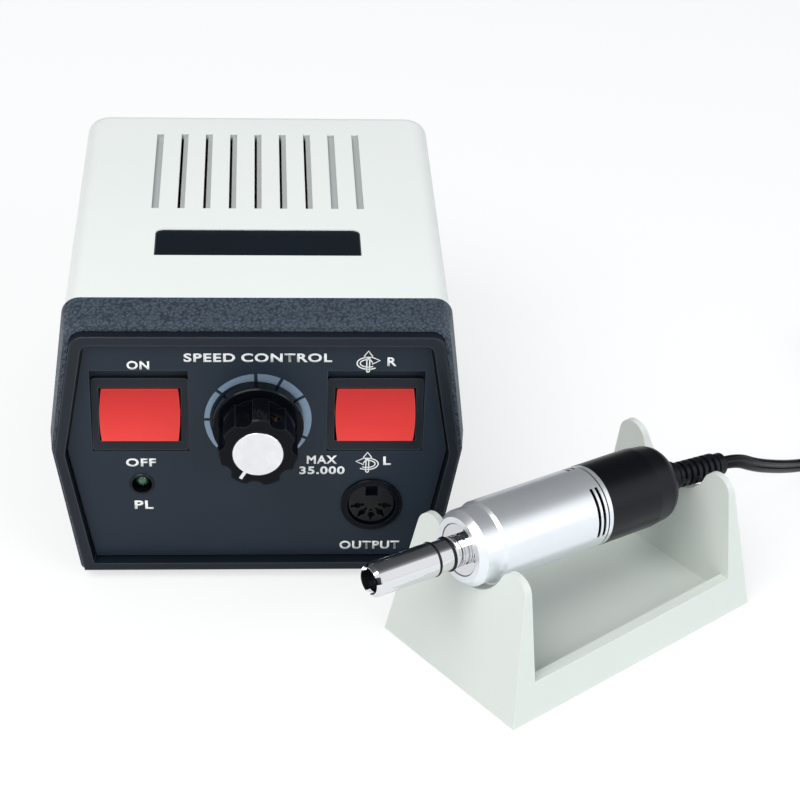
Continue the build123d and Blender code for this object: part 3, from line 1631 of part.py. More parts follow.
nodes = {
    "top_cover": top_cover,
    "lower_case": lower_case,
    "front_bezel": front_bezel,
    "front_frame": front_frame,
    "front_panel": front_panel,
    "nameplate": nameplate,
    "power_switch_body": lambda: switch_body(-1),
    "power_rocker": lambda: rocker(-1),
    "direction_switch_body": lambda: switch_body(1),
    "direction_rocker": lambda: rocker(1),
    "dial_scale": dial_scale,
    "speed_knob": speed_knob,
    "knob_cap": knob_cap,
    "knob_set_screw": knob_set_screw,
    "potentiometer_shaft": potentiometer_shaft,
    "potentiometer_body": potentiometer_body,
    "potentiometer_nut": potentiometer_nut,
    "lamp_bezel": lamp_bezel,
    "pilot_lamp": pilot_lamp,
    "output_socket_shell": output_socket_shell,
    "output_socket_insert": output_socket_insert,
    "output_socket_contacts": output_socket_contacts,
    "rear_panel": rear_panel,
    "mains_gland": mains_gland,
    "fuse_holder": fuse_holder,
    "fuse_cap": fuse_cap,
    "foot_control_socket": foot_control_socket,
    "control_selector_body": control_selector_body,
    "control_selector_slider": control_selector_slider,
    "transformer_core": transformer_core,
    "transformer_winding": transformer_winding,
    "transformer_clamp": transformer_clamp,
    "transformer_screws": transformer_screws,
    "circuit_board": circuit_board,
    "filter_capacitor": filter_capacitor,
    "heat_sink": heat_sink,
    "rubber_feet": rubber_feet,
    "case_screws": case_screws,
    "handpiece_cradle": handpiece_cradle,
    "motor_nose": motor_nose,
    "nose_o_rings": nose_o_rings,
    "front_collar": front_collar,
    "motor_housing": motor_housing,
    "rear_cap": rear_cap,
    "strain_relief": strain_relief,
    "rotor_shaft": rotor_shaft,
    "drive_dog": drive_dog,
    "rotor_armature": rotor_armature,
    "rotor_commutator": rotor_commutator,
    "rotor_bearings": rotor_bearings,
    "field_magnets": field_magnets,
    "carbon_brushes": carbon_brushes,
    "brush_holders": brush_holders,
    "brush_springs": brush_springs,
    "motor_cord": motor_cord,
    "motor_cord_coil": motor_cord_coil,
    "cord_tie": cord_tie,
    "motor_plug_body": motor_plug_body,
    "motor_plug_shell": motor_plug_shell,
    "motor_plug_pins": motor_plug_pins,
}

os.makedirs("parts", exist_ok=True)
for name, make in nodes.items():
    export_step(Pos(-footprint_x, -footprint_y, 0) * make(), f"parts/{name}.step")
print("nodes", len(nodes), "coil end", coil_point(coil_turns), "cord exit", cord_exit())
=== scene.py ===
import bpy
from math import radians, cos, sin, atan
from mathutils import Vector, Matrix


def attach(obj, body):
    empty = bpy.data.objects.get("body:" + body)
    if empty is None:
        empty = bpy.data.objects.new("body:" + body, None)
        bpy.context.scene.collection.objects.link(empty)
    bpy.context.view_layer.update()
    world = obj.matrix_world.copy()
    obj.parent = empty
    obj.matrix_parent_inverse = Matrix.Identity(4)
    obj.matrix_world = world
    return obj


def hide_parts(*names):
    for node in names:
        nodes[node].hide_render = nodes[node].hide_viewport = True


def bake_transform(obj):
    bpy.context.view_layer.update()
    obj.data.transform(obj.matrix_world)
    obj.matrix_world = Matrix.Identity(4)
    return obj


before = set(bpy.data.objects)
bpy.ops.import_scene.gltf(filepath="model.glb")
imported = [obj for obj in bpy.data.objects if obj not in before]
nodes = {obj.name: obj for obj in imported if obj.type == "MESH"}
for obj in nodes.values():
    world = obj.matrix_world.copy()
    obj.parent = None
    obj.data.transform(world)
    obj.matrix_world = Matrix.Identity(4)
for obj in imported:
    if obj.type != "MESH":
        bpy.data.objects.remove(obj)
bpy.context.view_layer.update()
MM = 0.001

# Lengths below are in mm, laid out from the middle of the control unit, and SHIFT leads from them
# to the frame.
SHIFT = Vector((-47.13, 32.94, 0.0))


def at(x, y, z):
    """A place laid out from the unit's middle, in mm, as a point of the row frame in m."""
    return (Vector((x, y, z)) + SHIFT) * MM


# Camera
picture_px, focal_px, aside_px = 800, 2265.5, 142
camera_pitch = 33.29
camera_place = (0, -663.8, 459.7)
film_width = 36.0
near_m, far_m = 0.05, 20.0

scene = bpy.context.scene
scene.view_settings.view_transform = "Standard"
pitch, swing = radians(camera_pitch), atan(aside_px / focal_px)
fwd = Vector((0, cos(pitch), -sin(pitch)))
up = Vector((0, sin(pitch), cos(pitch)))
right = Vector((1, 0, 0))
look = (fwd * cos(swing) + right * sin(swing)).normalized()
side = (right * cos(swing) - fwd * sin(swing)).normalized()
cam_data = bpy.data.cameras.new("camera")
cam_data.sensor_width = film_width
cam_data.lens = focal_px / picture_px * film_width
cam_data.clip_start, cam_data.clip_end = near_m, far_m
cam = bpy.data.objects.new("camera", cam_data)
scene.collection.objects.link(cam)
turn = Matrix((side, up, -look)).transposed().to_4x4()
cam.matrix_world = Matrix.Translation(at(*camera_place)) @ turn
scene.camera = cam


# Helpers

def link(obj):
    scene.collection.objects.link(obj)
    return obj


def mesh_object(name, verts, faces, smooth=True):
    mesh = bpy.data.meshes.new(name)
    mesh.from_pydata([tuple(v) for v in verts], [], faces)
    mesh.validate()
    mesh.update()
    for poly in mesh.polygons:
        poly.use_smooth = smooth
    return link(bpy.data.objects.new(name, mesh))


class Nodes:
    """Short calls for building a material's node tree."""

    def __init__(self, name):
        self.mat = bpy.data.materials.new(name)
        self.mat.use_nodes = True
        self.tree = self.mat.node_tree
        self.bsdf = self.tree.nodes["Principled BSDF"]
        coord = self.tree.nodes.new("ShaderNodeTexCoord")
        self.place = coord.outputs["Object"]

    def add(self, kind, **values):
        node = self.tree.nodes.new(kind)
        for key, value in values.items():
            if hasattr(node, key):
                setattr(node, key, value)
            else:
                node.inputs[key.replace("_", " ")].default_value = value
        return node

    def join(self, a, b):
        self.tree.links.new(a, b)

    def stretch(self, scale):
        node = self.add("ShaderNodeMapping")
        node.inputs["Scale"].default_value = scale
        self.join(self.place, node.inputs["Vector"])
        return node.outputs["Vector"]

    def noise(self, scale, detail=4.0, rough=0.6, vector=None):
        node = self.add("ShaderNodeTexNoise", Scale=scale, Detail=detail, Roughness=rough)
        self.join(vector or self.place, node.inputs["Vector"])
        return node.outputs["Fac"]

    def voronoi(self, scale, vector=None):
        node = self.add("ShaderNodeTexVoronoi", Scale=scale)
        self.join(vector or self.place, node.inputs["Vector"])
        return node.outputs["Distance"]

    def ramp(self, fac, low, high, a=0.0, b=1.0):
        node = self.add("ShaderNodeValToRGB")
        first, last = node.color_ramp.elements
        first.position, last.position = a, b
        first.color, last.color = (*low, 1), (*high, 1)
        self.join(fac, node.inputs["Fac"])
        return node.outputs["Color"]

    def span(self, fac, low, high):
        node = self.add("ShaderNodeMapRange")
        node.inputs["To Min"].default_value = low
        node.inputs["To Max"].default_value = high
        self.join(fac, node.inputs["Value"])
        return node.outputs["Result"]

    def math(self, operation, a, b):
        node = self.add("ShaderNodeMath")
        node.operation = operation
        for socket, value in zip(node.inputs, (a, b)):
            if isinstance(value, (int, float)):
                socket.default_value = value
            else:
                self.join(value, socket)
        return node.outputs[0]

    def vector(self, operation, a, b=None):
        """A vector operation on a socket and a fixed vector, or on the socket alone: its node."""
        node = self.add("ShaderNodeVectorMath", operation=operation)
        self.join(a, node.inputs[0])
        if b is not None:
            node.inputs[1].default_value = b
        return node

    def axes(self):
        split = self.add("ShaderNodeSeparateXYZ")
        self.join(self.place, split.inputs[0])
        return split.outputs

    def blend(self, fac, low, high):
        """Two tones mixed by a factor; each tone is a socket or a fixed colour."""
        mix = self.add("ShaderNodeMix", data_type="RGBA")
        self.join(fac, mix.inputs[0])
        for socket, tint in zip(mix.inputs[6:8], (low, high)):
            if isinstance(tint, tuple):
                socket.default_value = (*tint, 1)
            else:
                self.join(tint, socket)
        return mix.outputs[2]

    def bump(self, height, strength, distance):
        node = self.add("ShaderNodeBump", Strength=strength, Distance=distance)
        self.join(height, node.inputs["Height"])
        return node.outputs["Normal"]

    def edge_wear(self, color, worn, radius=0.0006, amount=0.5):
        """A lighter tone where an edge is rubbed, from the bevel normal against the true one."""
        bevel = self.add("ShaderNodeBevel", samples=4, Radius=radius)
        geo = self.add("ShaderNodeNewGeometry")
        dot = self.add("ShaderNodeVectorMath", operation="DOT_PRODUCT")
        self.join(bevel.outputs["Normal"], dot.inputs[0])
        self.join(geo.outputs["Normal"], dot.inputs[1])
        fac = self.math("MULTIPLY", self.math("SUBTRACT", 1.0, dot.outputs["Value"]), amount * 8)
        return self.blend(self.math("MINIMUM", fac, amount), color, worn)

    def done(self, color, rough, normal=None, **fixed):
        """Joins the tone, roughness and relief to the surface; fixed names its other settings."""
        put = self.bsdf.inputs
        self.join(color, put["Base Color"])
        self.join(rough, put["Roughness"])
        if normal:
            self.join(normal, put["Normal"])
        for key, value in fixed.items():
            put[key.replace("_", " ")].default_value = value
        return self.mat


def tone(color, gain):
    return tuple(min(1.0, channel * gain) for channel in color)


def moulded(name, color, rough=0.4, grain=900.0, depth=0.00002, strength=0.25, vary=0.06,
            worn=None, **fixed):
    """Moulded plastic or rubber: fine spark texture, a slow drift of tone, rubbed edges."""
    n = Nodes(name)
    drift = n.noise(18.0, 3.0)
    color_out = n.ramp(drift, tone(color, 1 - vary), tone(color, 1 + vary), 0.3, 0.7)
    if worn:
        color_out = n.edge_wear(color_out, worn)
    fine = n.noise(grain, 2.0, 0.5)
    coarse = n.noise(grain / 7, 2.0, 0.5)
    return n.done(color_out, n.span(coarse, max(rough - 0.05, 0.02), rough + 0.06),
                  n.bump(fine, strength, depth), **fixed)


def metal(name, color, rough=0.25, grain=(60, 60, 60), strength=0.08, vary=0.05):
    """Bare metal with a directional or even grain."""
    n = Nodes(name)
    lines = n.noise(30.0, 5.0, 0.65, n.stretch(grain))
    drift = n.noise(9.0, 3.0)
    color_out = n.ramp(drift, tone(color, 1 - vary), tone(color, 1 + vary), 0.3, 0.7)
    return n.done(color_out, n.span(lines, max(rough - 0.06, 0.02), rough + 0.07),
                  n.bump(lines, strength, 0.00002), Metallic=1.0)


# The handpiece's axis
handpiece_heading, handpiece_drop, boot_drop = 32.4, 3.5, 8.0
nose_mouth = (33.96, -136.988, 50.692)


def direction(drop):
    """The handpiece's heading, sunk by an angle in degrees from the nose to the boot."""
    turned, sunk = radians(handpiece_heading), radians(drop)
    return Vector((cos(turned) * cos(sunk), sin(turned) * cos(sunk), -sin(sunk)))


# Materials

# Places that decide a tone: painted shade in the nose's bore, the housing's slots and the roof's
# vent grooves; and the knob's face
bore_shade_radius, slot_floor_radius = 4.15, 12.7
roof_z = 99.5
vent_half_span, vent_front_y, vent_rear_y = 40.0, -1.0, 56.5
vent_top_z, vent_low_z = roof_z - 0.35, roof_z - 6.0
# How strongly the painted shade greys the floors of the vent grooves
painted_vent_shade = 0.82
knob_center = (0, -68, 61.3)
ring_rate = 17000.0

charcoal = moulded("charcoal_moulding", (0.020, 0.027, 0.036), 0.5, 1000, strength=0.3,
                   worn=(0.06, 0.07, 0.08), Specular_IOR_Level=0.3)
slate = moulded("slate_moulding", (0.006, 0.010, 0.016), 0.36, 1400, strength=0.15, vary=0.1,
                worn=(0.075, 0.09, 0.11), Specular_IOR_Level=0.28)
panel_mat = moulded("panel_lacquer", (0.009, 0.017, 0.029), 0.45, 2300, 0.00003, 0.35, 0.09,
                    worn=(0.05, 0.06, 0.075), Specular_IOR_Level=0.28)
black_gloss = moulded("black_gloss", (0.002, 0.003, 0.005), 0.14, 500, strength=0.05, vary=0.1,
                      worn=(0.03, 0.033, 0.037), Specular_IOR_Level=0.10)
black_satin = moulded("black_satin", (0.0025, 0.0035, 0.0055), 0.3, 1500, strength=0.15, vary=0.12,
                      worn=(0.02, 0.022, 0.026), Specular_IOR_Level=0.24)
black_rubber = moulded("black_rubber", (0.003, 0.004, 0.006), 0.38, 1200, strength=0.3, vary=0.15,
                       worn=(0.016, 0.018, 0.022), Specular_IOR_Level=0.22)
cradle_mat = moulded("cradle_moulding", (0.665, 0.705, 0.665), 0.4, 700, 0.00002, 0.2, 0.015,
                     worn=(0.78, 0.80, 0.77), Coat_Weight=0.08, Coat_Roughness=0.35,
                     Specular_IOR_Level=0.4)
sleeve = moulded("capacitor_sleeve", (0.03, 0.05, 0.13), 0.3, 600)
board = moulded("board_lacquer", (0.03, 0.20, 0.09), 0.3, 400, strength=0.3, vary=0.15)
chrome = metal("chrome_plate", (0.78, 0.79, 0.80), 0.05, (20, 20, 20), strength=0.01, vary=0.01)
steel = metal("brushed_steel", (0.52, 0.53, 0.55), 0.3, (8, 8, 180))
brass = metal("turned_brass", (0.78, 0.58, 0.24), 0.22, (160, 160, 12))
copper = metal("copper_wire", (0.72, 0.36, 0.17), 0.3, (9, 9, 320), strength=0.8, vary=0.12)
fins = metal("cast_aluminium", (0.7, 0.71, 0.72), 0.4, (120, 120, 120))
magnet = metal("magnet_ferrite", (0.16, 0.16, 0.17), 0.5, (60, 60, 60))


def ivory_material():
    """The cover's ivory moulding: spark texture, with painted shade, a dull grey, on the floors of
    the sunk vent grooves.
    """
    n = Nodes("ivory_moulding")
    drift = n.noise(18.0, 3.0)
    color = n.ramp(drift, (0.845, 0.882, 0.85), (0.865, 0.90, 0.872), 0.3, 0.7)
    color = n.edge_wear(color, (0.86, 0.88, 0.86), 0.0006, 0.4)
    x, y, z = n.axes()
    aside = n.math("ABSOLUTE", n.math("SUBTRACT", x, at(0, 0, 0).x), 0.0)
    across = n.math("LESS_THAN", aside, vent_half_span * MM)
    along = n.math("MULTIPLY", n.math("GREATER_THAN", y, at(0, vent_front_y, 0).y),
                   n.math("LESS_THAN", y, at(0, vent_rear_y, 0).y))
    under = n.math("MULTIPLY", n.math("LESS_THAN", z, vent_top_z * MM),
                   n.math("GREATER_THAN", z, vent_low_z * MM))
    sunk = n.math("MULTIPLY", n.math("MULTIPLY", across, along), under)
    # Painted shade: the vent grooves' floors turn grey, standing in for the light they miss
    color = n.blend(n.math("MULTIPLY", sunk, painted_vent_shade), color, (0.42, 0.445, 0.445))
    fine = n.noise(1100.0, 2.0, 0.5)
    coarse = n.noise(160.0, 2.0, 0.5)
    return n.done(color, n.span(coarse, 0.34, 0.44), n.bump(fine, 0.18, 0.00002),
                  Coat_Weight=0.08, Coat_Roughness=0.3, Specular_IOR_Level=0.4)


def off_axis(n):
    """The distance of a point from the handpiece's axis, in m."""
    take = n.vector("SUBTRACT", n.place, at(*nose_mouth))
    cross = n.vector("CROSS_PRODUCT", take.outputs[0], direction(handpiece_drop))
    return n.vector("LENGTH", cross.outputs[0]).outputs["Value"]


def housing_material(name, floor_radius=None):
    """Satin anodised aluminium: an even bead-blasted grain, with painted shade, near black, in the
    slots below floor_radius.
    """
    n = Nodes(name)
    blast = n.noise(2200.0, 2.0, 0.5)
    drift = n.noise(25.0, 3.0)
    color = n.ramp(drift, (0.80, 0.835, 0.87), (0.84, 0.87, 0.90), 0.3, 0.7)
    if floor_radius:
        # Painted shade: inside the slots, closer to the axis than floor_radius, the tone is near
        # black
        skin = n.math("GREATER_THAN", off_axis(n), floor_radius * MM)
        color = n.blend(skin, (0.012, 0.013, 0.016), color)
    return n.done(color, n.span(drift, 0.27, 0.33), n.bump(blast, 0.10, 0.000006), Metallic=0.74)


def grained_material():
    """The bezel's leather grain: pebbled cells with raised, rubbed tops."""
    n = Nodes("leather_grain")
    push = n.vector("MULTIPLY_ADD", n.noise(700.0, 3.0, 0.7), (0.0008, 0.0008, 0.0008))
    n.join(n.place, push.inputs[2])
    cells = n.voronoi(1050.0, push.outputs[0])
    small = n.voronoi(2400.0, push.outputs[0])
    height = n.math("ADD", n.math("MULTIPLY", cells, -1.0), n.math("MULTIPLY", small, -0.35))
    color = n.ramp(cells, (0.075, 0.100, 0.130), (0.020, 0.030, 0.044), 0.15, 0.8)
    return n.done(color, n.span(cells, 0.34, 0.55), n.bump(height, 0.9, 0.00024),
                  Specular_IOR_Level=0.42)


def spun_material():
    """A turned face: fine rings about the knob's own axis."""
    n = Nodes("spun_aluminium")
    take = n.vector("SUBTRACT", n.place, at(*knob_center))
    flat = n.vector("MULTIPLY", take.outputs[0], (1, 0, 1))
    length = n.vector("LENGTH", flat.outputs[0]).outputs["Value"]
    rings = n.math("SINE", n.math("MULTIPLY", length, ring_rate), 0.0)
    ragged = n.noise(260.0, 4.0, 0.7)
    height = n.math("ADD", rings, n.math("MULTIPLY", ragged, 0.6))
    color = n.ramp(ragged, (0.80, 0.805, 0.81), (0.90, 0.90, 0.90), 0.3, 0.7)
    return n.done(color, n.span(ragged, 0.2, 0.32), n.bump(height, 0.35, 0.00001), Metallic=1.0)


def red_material():
    """The rocker's red moulding, with painted light: darker toward its top and brighter toward its
    bottom, standing in for light from above and the floor's reflection, with a sheen of fine grain.
    """
    n = Nodes("red_rocker")
    # Painted light: the red brightens toward the rocker's bottom and darkens toward its top
    height = n.math("MULTIPLY", n.axes()["Z"], 55.0)
    drift = n.math("ADD", height, n.math("MULTIPLY", n.noise(60.0, 3.0), 0.12))
    color = n.ramp(n.math("SUBTRACT", drift, 2.95), (0.72, 0.042, 0.036), (0.47, 0.018, 0.018),
                   0.12, 0.95)
    color = n.edge_wear(color, (0.86, 0.09, 0.07), 0.0005, 0.4)
    grain = n.noise(2600.0, 2.0, 0.5)
    return n.done(color, n.span(grain, 0.34, 0.44), n.bump(grain, 0.3, 0.00001),
                  Specular_IOR_Level=0.3)


def lens_material():
    """The unlit green lamp, a cloudy body under a clear skin."""
    n = Nodes("green_lens")
    cloud = n.noise(700.0, 3.0)
    color = n.ramp(cloud, (0.008, 0.050, 0.026), (0.02, 0.095, 0.050), 0.3, 0.7)
    return n.done(color, n.span(cloud, 0.05, 0.12), Coat_Weight=1.0, Coat_Roughness=0.03, IOR=1.5)


def nose_material():
    """Chrome plate outside, with painted shade, a near-black tone, on the bore inside."""
    n = Nodes("nose_chrome")
    outside = n.math("GREATER_THAN", off_axis(n), bore_shade_radius * MM)
    # Painted shade: the bore near the axis is near black and rougher
    color = n.ramp(outside, (0.035, 0.036, 0.04), (0.78, 0.79, 0.80))
    return n.done(color, n.span(outside, 0.45, 0.05), Metallic=1.0)


def print_material():
    """Screen-printed white ink: slightly raised, with a speckled tone."""
    n = Nodes("white_ink")
    speck = n.noise(3200.0, 2.0)
    white = (0.86, 0.88, 0.88)
    out = n.ramp(speck, tone(white, 0.9), white, 0.25, 0.6)
    return n.done(out, n.span(speck, 0.42, 0.58), n.bump(speck, 0.15, 0.00001))


def scale_material():
    """The dial's silver-blue ink with its metal flakes."""
    n = Nodes("silver_ink")
    flake = n.voronoi(5200.0)
    out = n.ramp(flake, (0.165, 0.232, 0.320), (0.225, 0.306, 0.405), 0.1, 0.7)
    return n.done(out, n.span(flake, 0.28, 0.5), n.bump(flake, 0.2, 0.00001), Metallic=0.45)


ivory = ivory_material()
satin = housing_material("satin_aluminium")
slotted = housing_material("slotted_aluminium", slot_floor_radius)
grained = grained_material()
spun = spun_material()
red = red_material()
lens = lens_material()
nose = nose_material()
white_ink = print_material()
silver_ink = scale_material()
sheath = moulded("cord_sheath", (0.0025, 0.0035, 0.005), 0.22, 900, 0.00002, 0.12, 0.12,
                 Specular_IOR_Level=0.11)

paint = {
    ivory: ["top_cover"],
    charcoal: ["lower_case"],
    grained: ["front_bezel"],
    slate: ["front_frame", "nameplate", "power_switch_body", "direction_switch_body"],
    panel_mat: ["front_panel", "rear_panel"],
    black_gloss: ["speed_knob", "fuse_holder", "fuse_cap", "foot_control_socket",
                  "output_socket_shell"],
    black_satin: ["output_socket_insert", "mains_gland", "control_selector_body",
                  "control_selector_slider", "rear_cap", "brush_holders", "cord_tie", "lamp_bezel",
                  "carbon_brushes"],
    black_rubber: ["rubber_feet", "strain_relief", "nose_o_rings", "motor_plug_body"],
    red: ["power_rocker", "direction_rocker"],
    silver_ink: ["dial_scale"],
    spun: ["knob_cap"],
    brass: ["knob_set_screw", "potentiometer_nut", "output_socket_contacts", "motor_plug_pins",
            "brush_springs"],
    steel: ["potentiometer_shaft", "potentiometer_body", "transformer_core", "transformer_clamp",
            "transformer_screws", "case_screws", "rotor_shaft", "drive_dog", "rotor_armature",
            "rotor_bearings"],
    chrome: ["motor_plug_shell"],
    nose: ["motor_nose"],
    lens: ["pilot_lamp"],
    copper: ["transformer_winding", "rotor_commutator"],
    board: ["circuit_board"],
    sleeve: ["filter_capacitor"],
    fins: ["heat_sink"],
    magnet: ["field_magnets"],
    cradle_mat: ["handpiece_cradle"],
    satin: ["front_collar"],
    slotted: ["motor_housing"],
    sheath: ["motor_cord", "motor_cord_coil"],
}
for material, names in paint.items():
    for name in names:
        mesh = nodes[name].data
        mesh.materials.clear()
        mesh.materials.append(material)

# The chrome mirrors no red in the photo
for name in ("power_rocker", "direction_rocker"):
    nodes[name].visible_glossy = False

# Softened edges

# For each piece the bevel's width in mm, its segments, and the least angle of an edge in degrees
bevels = {
    "handpiece_cradle": (1.8, 4, 30), "top_cover": (0.35, 2, 40), "lower_case": (0.4, 2, 40),
    "front_bezel": (0.8, 3, 25), "front_panel": (0.2, 2, 40), "front_frame": (0.35, 2, 35),
    "power_rocker": (0.45, 3, 35), "direction_rocker": (0.45, 3, 35),
    "power_switch_body": (0.25, 2, 40), "direction_switch_body": (0.25, 2, 40),
    "speed_knob": (0.35, 3, 35), "front_collar": (0.35, 3, 35), "rear_cap": (0.3, 3, 35),
    "strain_relief": (0.3, 3, 35), "motor_nose": (0.18, 2, 40),
    "output_socket_shell": (0.25, 2, 40), "output_socket_insert": (0.12, 2, 40),
    "rear_panel": (0.3, 2, 40), "mains_gland": (0.3, 2, 40), "fuse_cap": (0.3, 2, 40),
    "fuse_holder": (0.3, 2, 40), "motor_plug_body": (0.35, 2, 40), "rubber_feet": (0.4, 2, 40),
    "cord_tie": (0.2, 2, 40), "nameplate": (0.15, 2, 40), "transformer_clamp": (0.3, 2, 40),
    "transformer_winding": (0.5, 3, 40),
}
for name, (width, segments, angle) in bevels.items():
    obj = nodes[name]
    mod = obj.modifiers.new("soft_edges", "BEVEL")
    mod.width = width * MM
    mod.segments = segments
    mod.limit_method = "ANGLE"
    mod.angle_limit = radians(angle)
    mod.use_clamp_overlap = True
    mod.harden_normals = False

# Cord
cord_start = Vector((150.596, -62.9687, 40.2383))
first_run = 7.6
rest_z = 3.1
route = [
    (165, -52, 32.1), (175, -40, 23), (185, -27, 14), (195, -15.4, 6.9), (206.5, -5.8, rest_z),
    (221, 0.9, rest_z), (237, 4, rest_z),
]
coil_center, coil_outer, coil_turns, coil_pitch = Vector((256.0, 43.0, 0.0)), 39.0, 8.25, 5.4
coil_start_angle = -90
coil_lead = 4.8
points_per_turn = 16
# The coil's points lie a little outside it, so that the smooth line keeps its radius
chord_gain = 1.0195
climb_turns = 0.5
end_runs = (8, 22)


def coil_point(turned, grow=1.0):
    """A point of the flat double coil: inward on the floor, up one layer, and outward again."""
    inward = min(turned, coil_turns - turned)
    radius = (coil_outer - coil_pitch * inward) * grow
    climb = min(max((turned - coil_turns / 2 + climb_turns / 2) / climb_turns, 0.0), 1.0)
    angle = radians(coil_start_angle + 360 * turned)
    place = Vector((radius * cos(angle), radius * sin(angle), rest_z + coil_pitch * climb))
    return coil_center + place


points = [cord_start, cord_start + direction(boot_drop) * first_run] + [Vector(p) for p in route]
points.append(coil_point(0) - Vector((coil_lead, 0, 0)))
count = int(round(coil_turns * points_per_turn))
points += [coil_point(coil_turns * k / count, chord_gain) for k in range(count + 1)]
points[-1] = coil_point(coil_turns)
points += [coil_point(coil_turns) + Vector((0, run, 0)) for run in end_runs]
curve = bpy.data.curves.new("cord_line", "CURVE")
curve.dimensions = "3D"
spline = curve.splines.new("NURBS")
spline.points.add(len(points) - 1)
for slot_point, point in zip(spline.points, points):
    slot_point.co = (*((point + SHIFT) * MM), 1.0)
spline.order_u = 3
spline.use_endpoint_u = True
curve.resolution_u = 8
guide = link(bpy.data.objects.new("cord_line", curve))
bpy.context.view_layer.update()
line = bpy.data.meshes.new_from_object(guide)
path = [v.co.copy() for v in line.vertices]
bpy.data.objects.remove(guide)


def sweep(path, outline):
    """Verts and faces of a tube along a path, kept upright: outline is (across, up) pairs."""
    verts, faces = [], []
    for i, here in enumerate(path):
        along = (path[min(i + 1, len(path) - 1)] - path[max(i - 1, 0)]).normalized()
        across = along.cross(Vector((0, 0, 1))).normalized()
        over = across.cross(along).normalized()
        verts += [here + across * a + over * b for a, b in outline]
    size = len(outline)
    for i in range(len(path) - 1):
        for k in range(size):
            m = (k + 1) % size
            here, ahead = i * size, (i + 1) * size
            faces.append((here + k, here + m, ahead + m, ahead + k))
    faces.append(tuple(reversed(range(size))))
    faces.append(tuple((len(path) - 1) * size + k for k in range(size)))
    return verts, faces


lobe_radius, lobe_rise = 1.26 * MM, 1.14 * MM
waist_angle, lobe_arc, lobe_step = 58, 297, 18


def lobe(rise, first_angle):
    """One of the twin cord's two round halves, open at the waist between them."""
    angles = [radians(a) for a in range(first_angle, first_angle + lobe_arc, lobe_step)]
    return [(lobe_radius * cos(a), rise + lobe_radius * sin(a)) for a in angles]


outline = lobe(lobe_rise, -waist_angle) + lobe(-lobe_rise, 180 - waist_angle)
cord = mesh_object("twin_cord", *sweep(path, outline))
cord.data.materials.append(sheath)
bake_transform(cord)
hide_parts("motor_cord", "motor_cord_coil")


# Printed legends
panel_y = -68.0
ink_depth = 0.06
stroke_width = 0.36
letter_weight, letter_space, word_space = 0.03, 1.12, 0.7


def printed(piece):
    """Gives a flat print its thickness and lets it ride with the unit."""
    mod = piece.modifiers.new("ink", "SOLIDIFY")
    mod.thickness = ink_depth * MM
    mod.offset = 0
    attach(piece, "set")


def legend(name, words, x, z, width, height):
    """Words printed on the panel, sized to the box that they fill."""
    text = bpy.data.curves.new(name, "FONT")
    text.body = words
    text.align_x, text.align_y = "CENTER", "CENTER"
    text.size = 1.0
    text.offset = letter_weight
    text.space_character = letter_space
    text.space_word = word_space
    obj = link(bpy.data.objects.new(name, text))
    bpy.context.view_layer.update()
    mesh = bpy.data.meshes.new_from_object(obj)
    bpy.data.objects.remove(obj)
    xs = [v.co.x for v in mesh.vertices]
    ys = [v.co.y for v in mesh.vertices]
    mid_x, mid_y = (min(xs) + max(xs)) / 2, (min(ys) + max(ys)) / 2
    gain_x, gain_y = width / (max(xs) - min(xs)), height / (max(ys) - min(ys))
    for v in mesh.vertices:
        v.co = at(x + (v.co.x - mid_x) * gain_x, panel_y - ink_depth, z + (v.co.y - mid_y) * gain_y)
    mesh.materials.append(white_ink)
    printed(link(bpy.data.objects.new(name, mesh)))


for row in (
    ("legend_on", "ON", -37.15, 81.4, 7.0, 3.1), ("legend_off", "OFF", -37.2, 44.7, 9.5, 3.1),
    ("legend_pl", "PL", -36.7, 28.1, 6.0, 3.3),
    ("legend_speed", "SPEED CONTROL", 0.0, 84.2, 46.0, 3.2),
    ("legend_max", "MAX", 20.4, 45.7, 9.7, 3.2), ("legend_number", "35,000", 20.5, 41.3, 14.5, 3.5),
    ("legend_output", "OUTPUT", 36.5, 11.6, 19.6, 3.3), ("legend_r", "R", 41.7, 82.8, 2.9, 3.2),
    ("legend_l", "L", 41.3, 45.2, 2.5, 3.3),
):
    legend(*row)


def stroke(name, lines):
    """Thin printed lines on the panel: each line is a list of (x, z)."""
    verts, faces = [], []
    half = stroke_width / 2
    for pts in lines:
        closed = pts[0] == pts[-1]
        base = len(verts)
        count = len(pts)
        for i, (x, z) in enumerate(pts):
            ax, az = pts[i - 1] if i else (pts[-2] if closed else pts[0])
            bx, bz = pts[i + 1] if i < count - 1 else (pts[1] if closed else pts[-1])
            run = Vector((bx - ax, bz - az)).normalized()
            verts.append(at(x - run.y * half, panel_y - ink_depth, z + run.x * half))
            verts.append(at(x + run.y * half, panel_y - ink_depth, z - run.x * half))
        for i in range(count - 1):
            k = base + i * 2
            faces.append((k, k + 1, k + 3, k + 2))
    piece = mesh_object(name, verts, faces, False)
    piece.data.materials.append(white_ink)
    printed(piece)


def arc(x, z, wide, high, degrees):
    """Points of an oval about (x, z)."""
    return [(x + wide * cos(radians(d)), z + high * sin(radians(d))) for d in degrees]


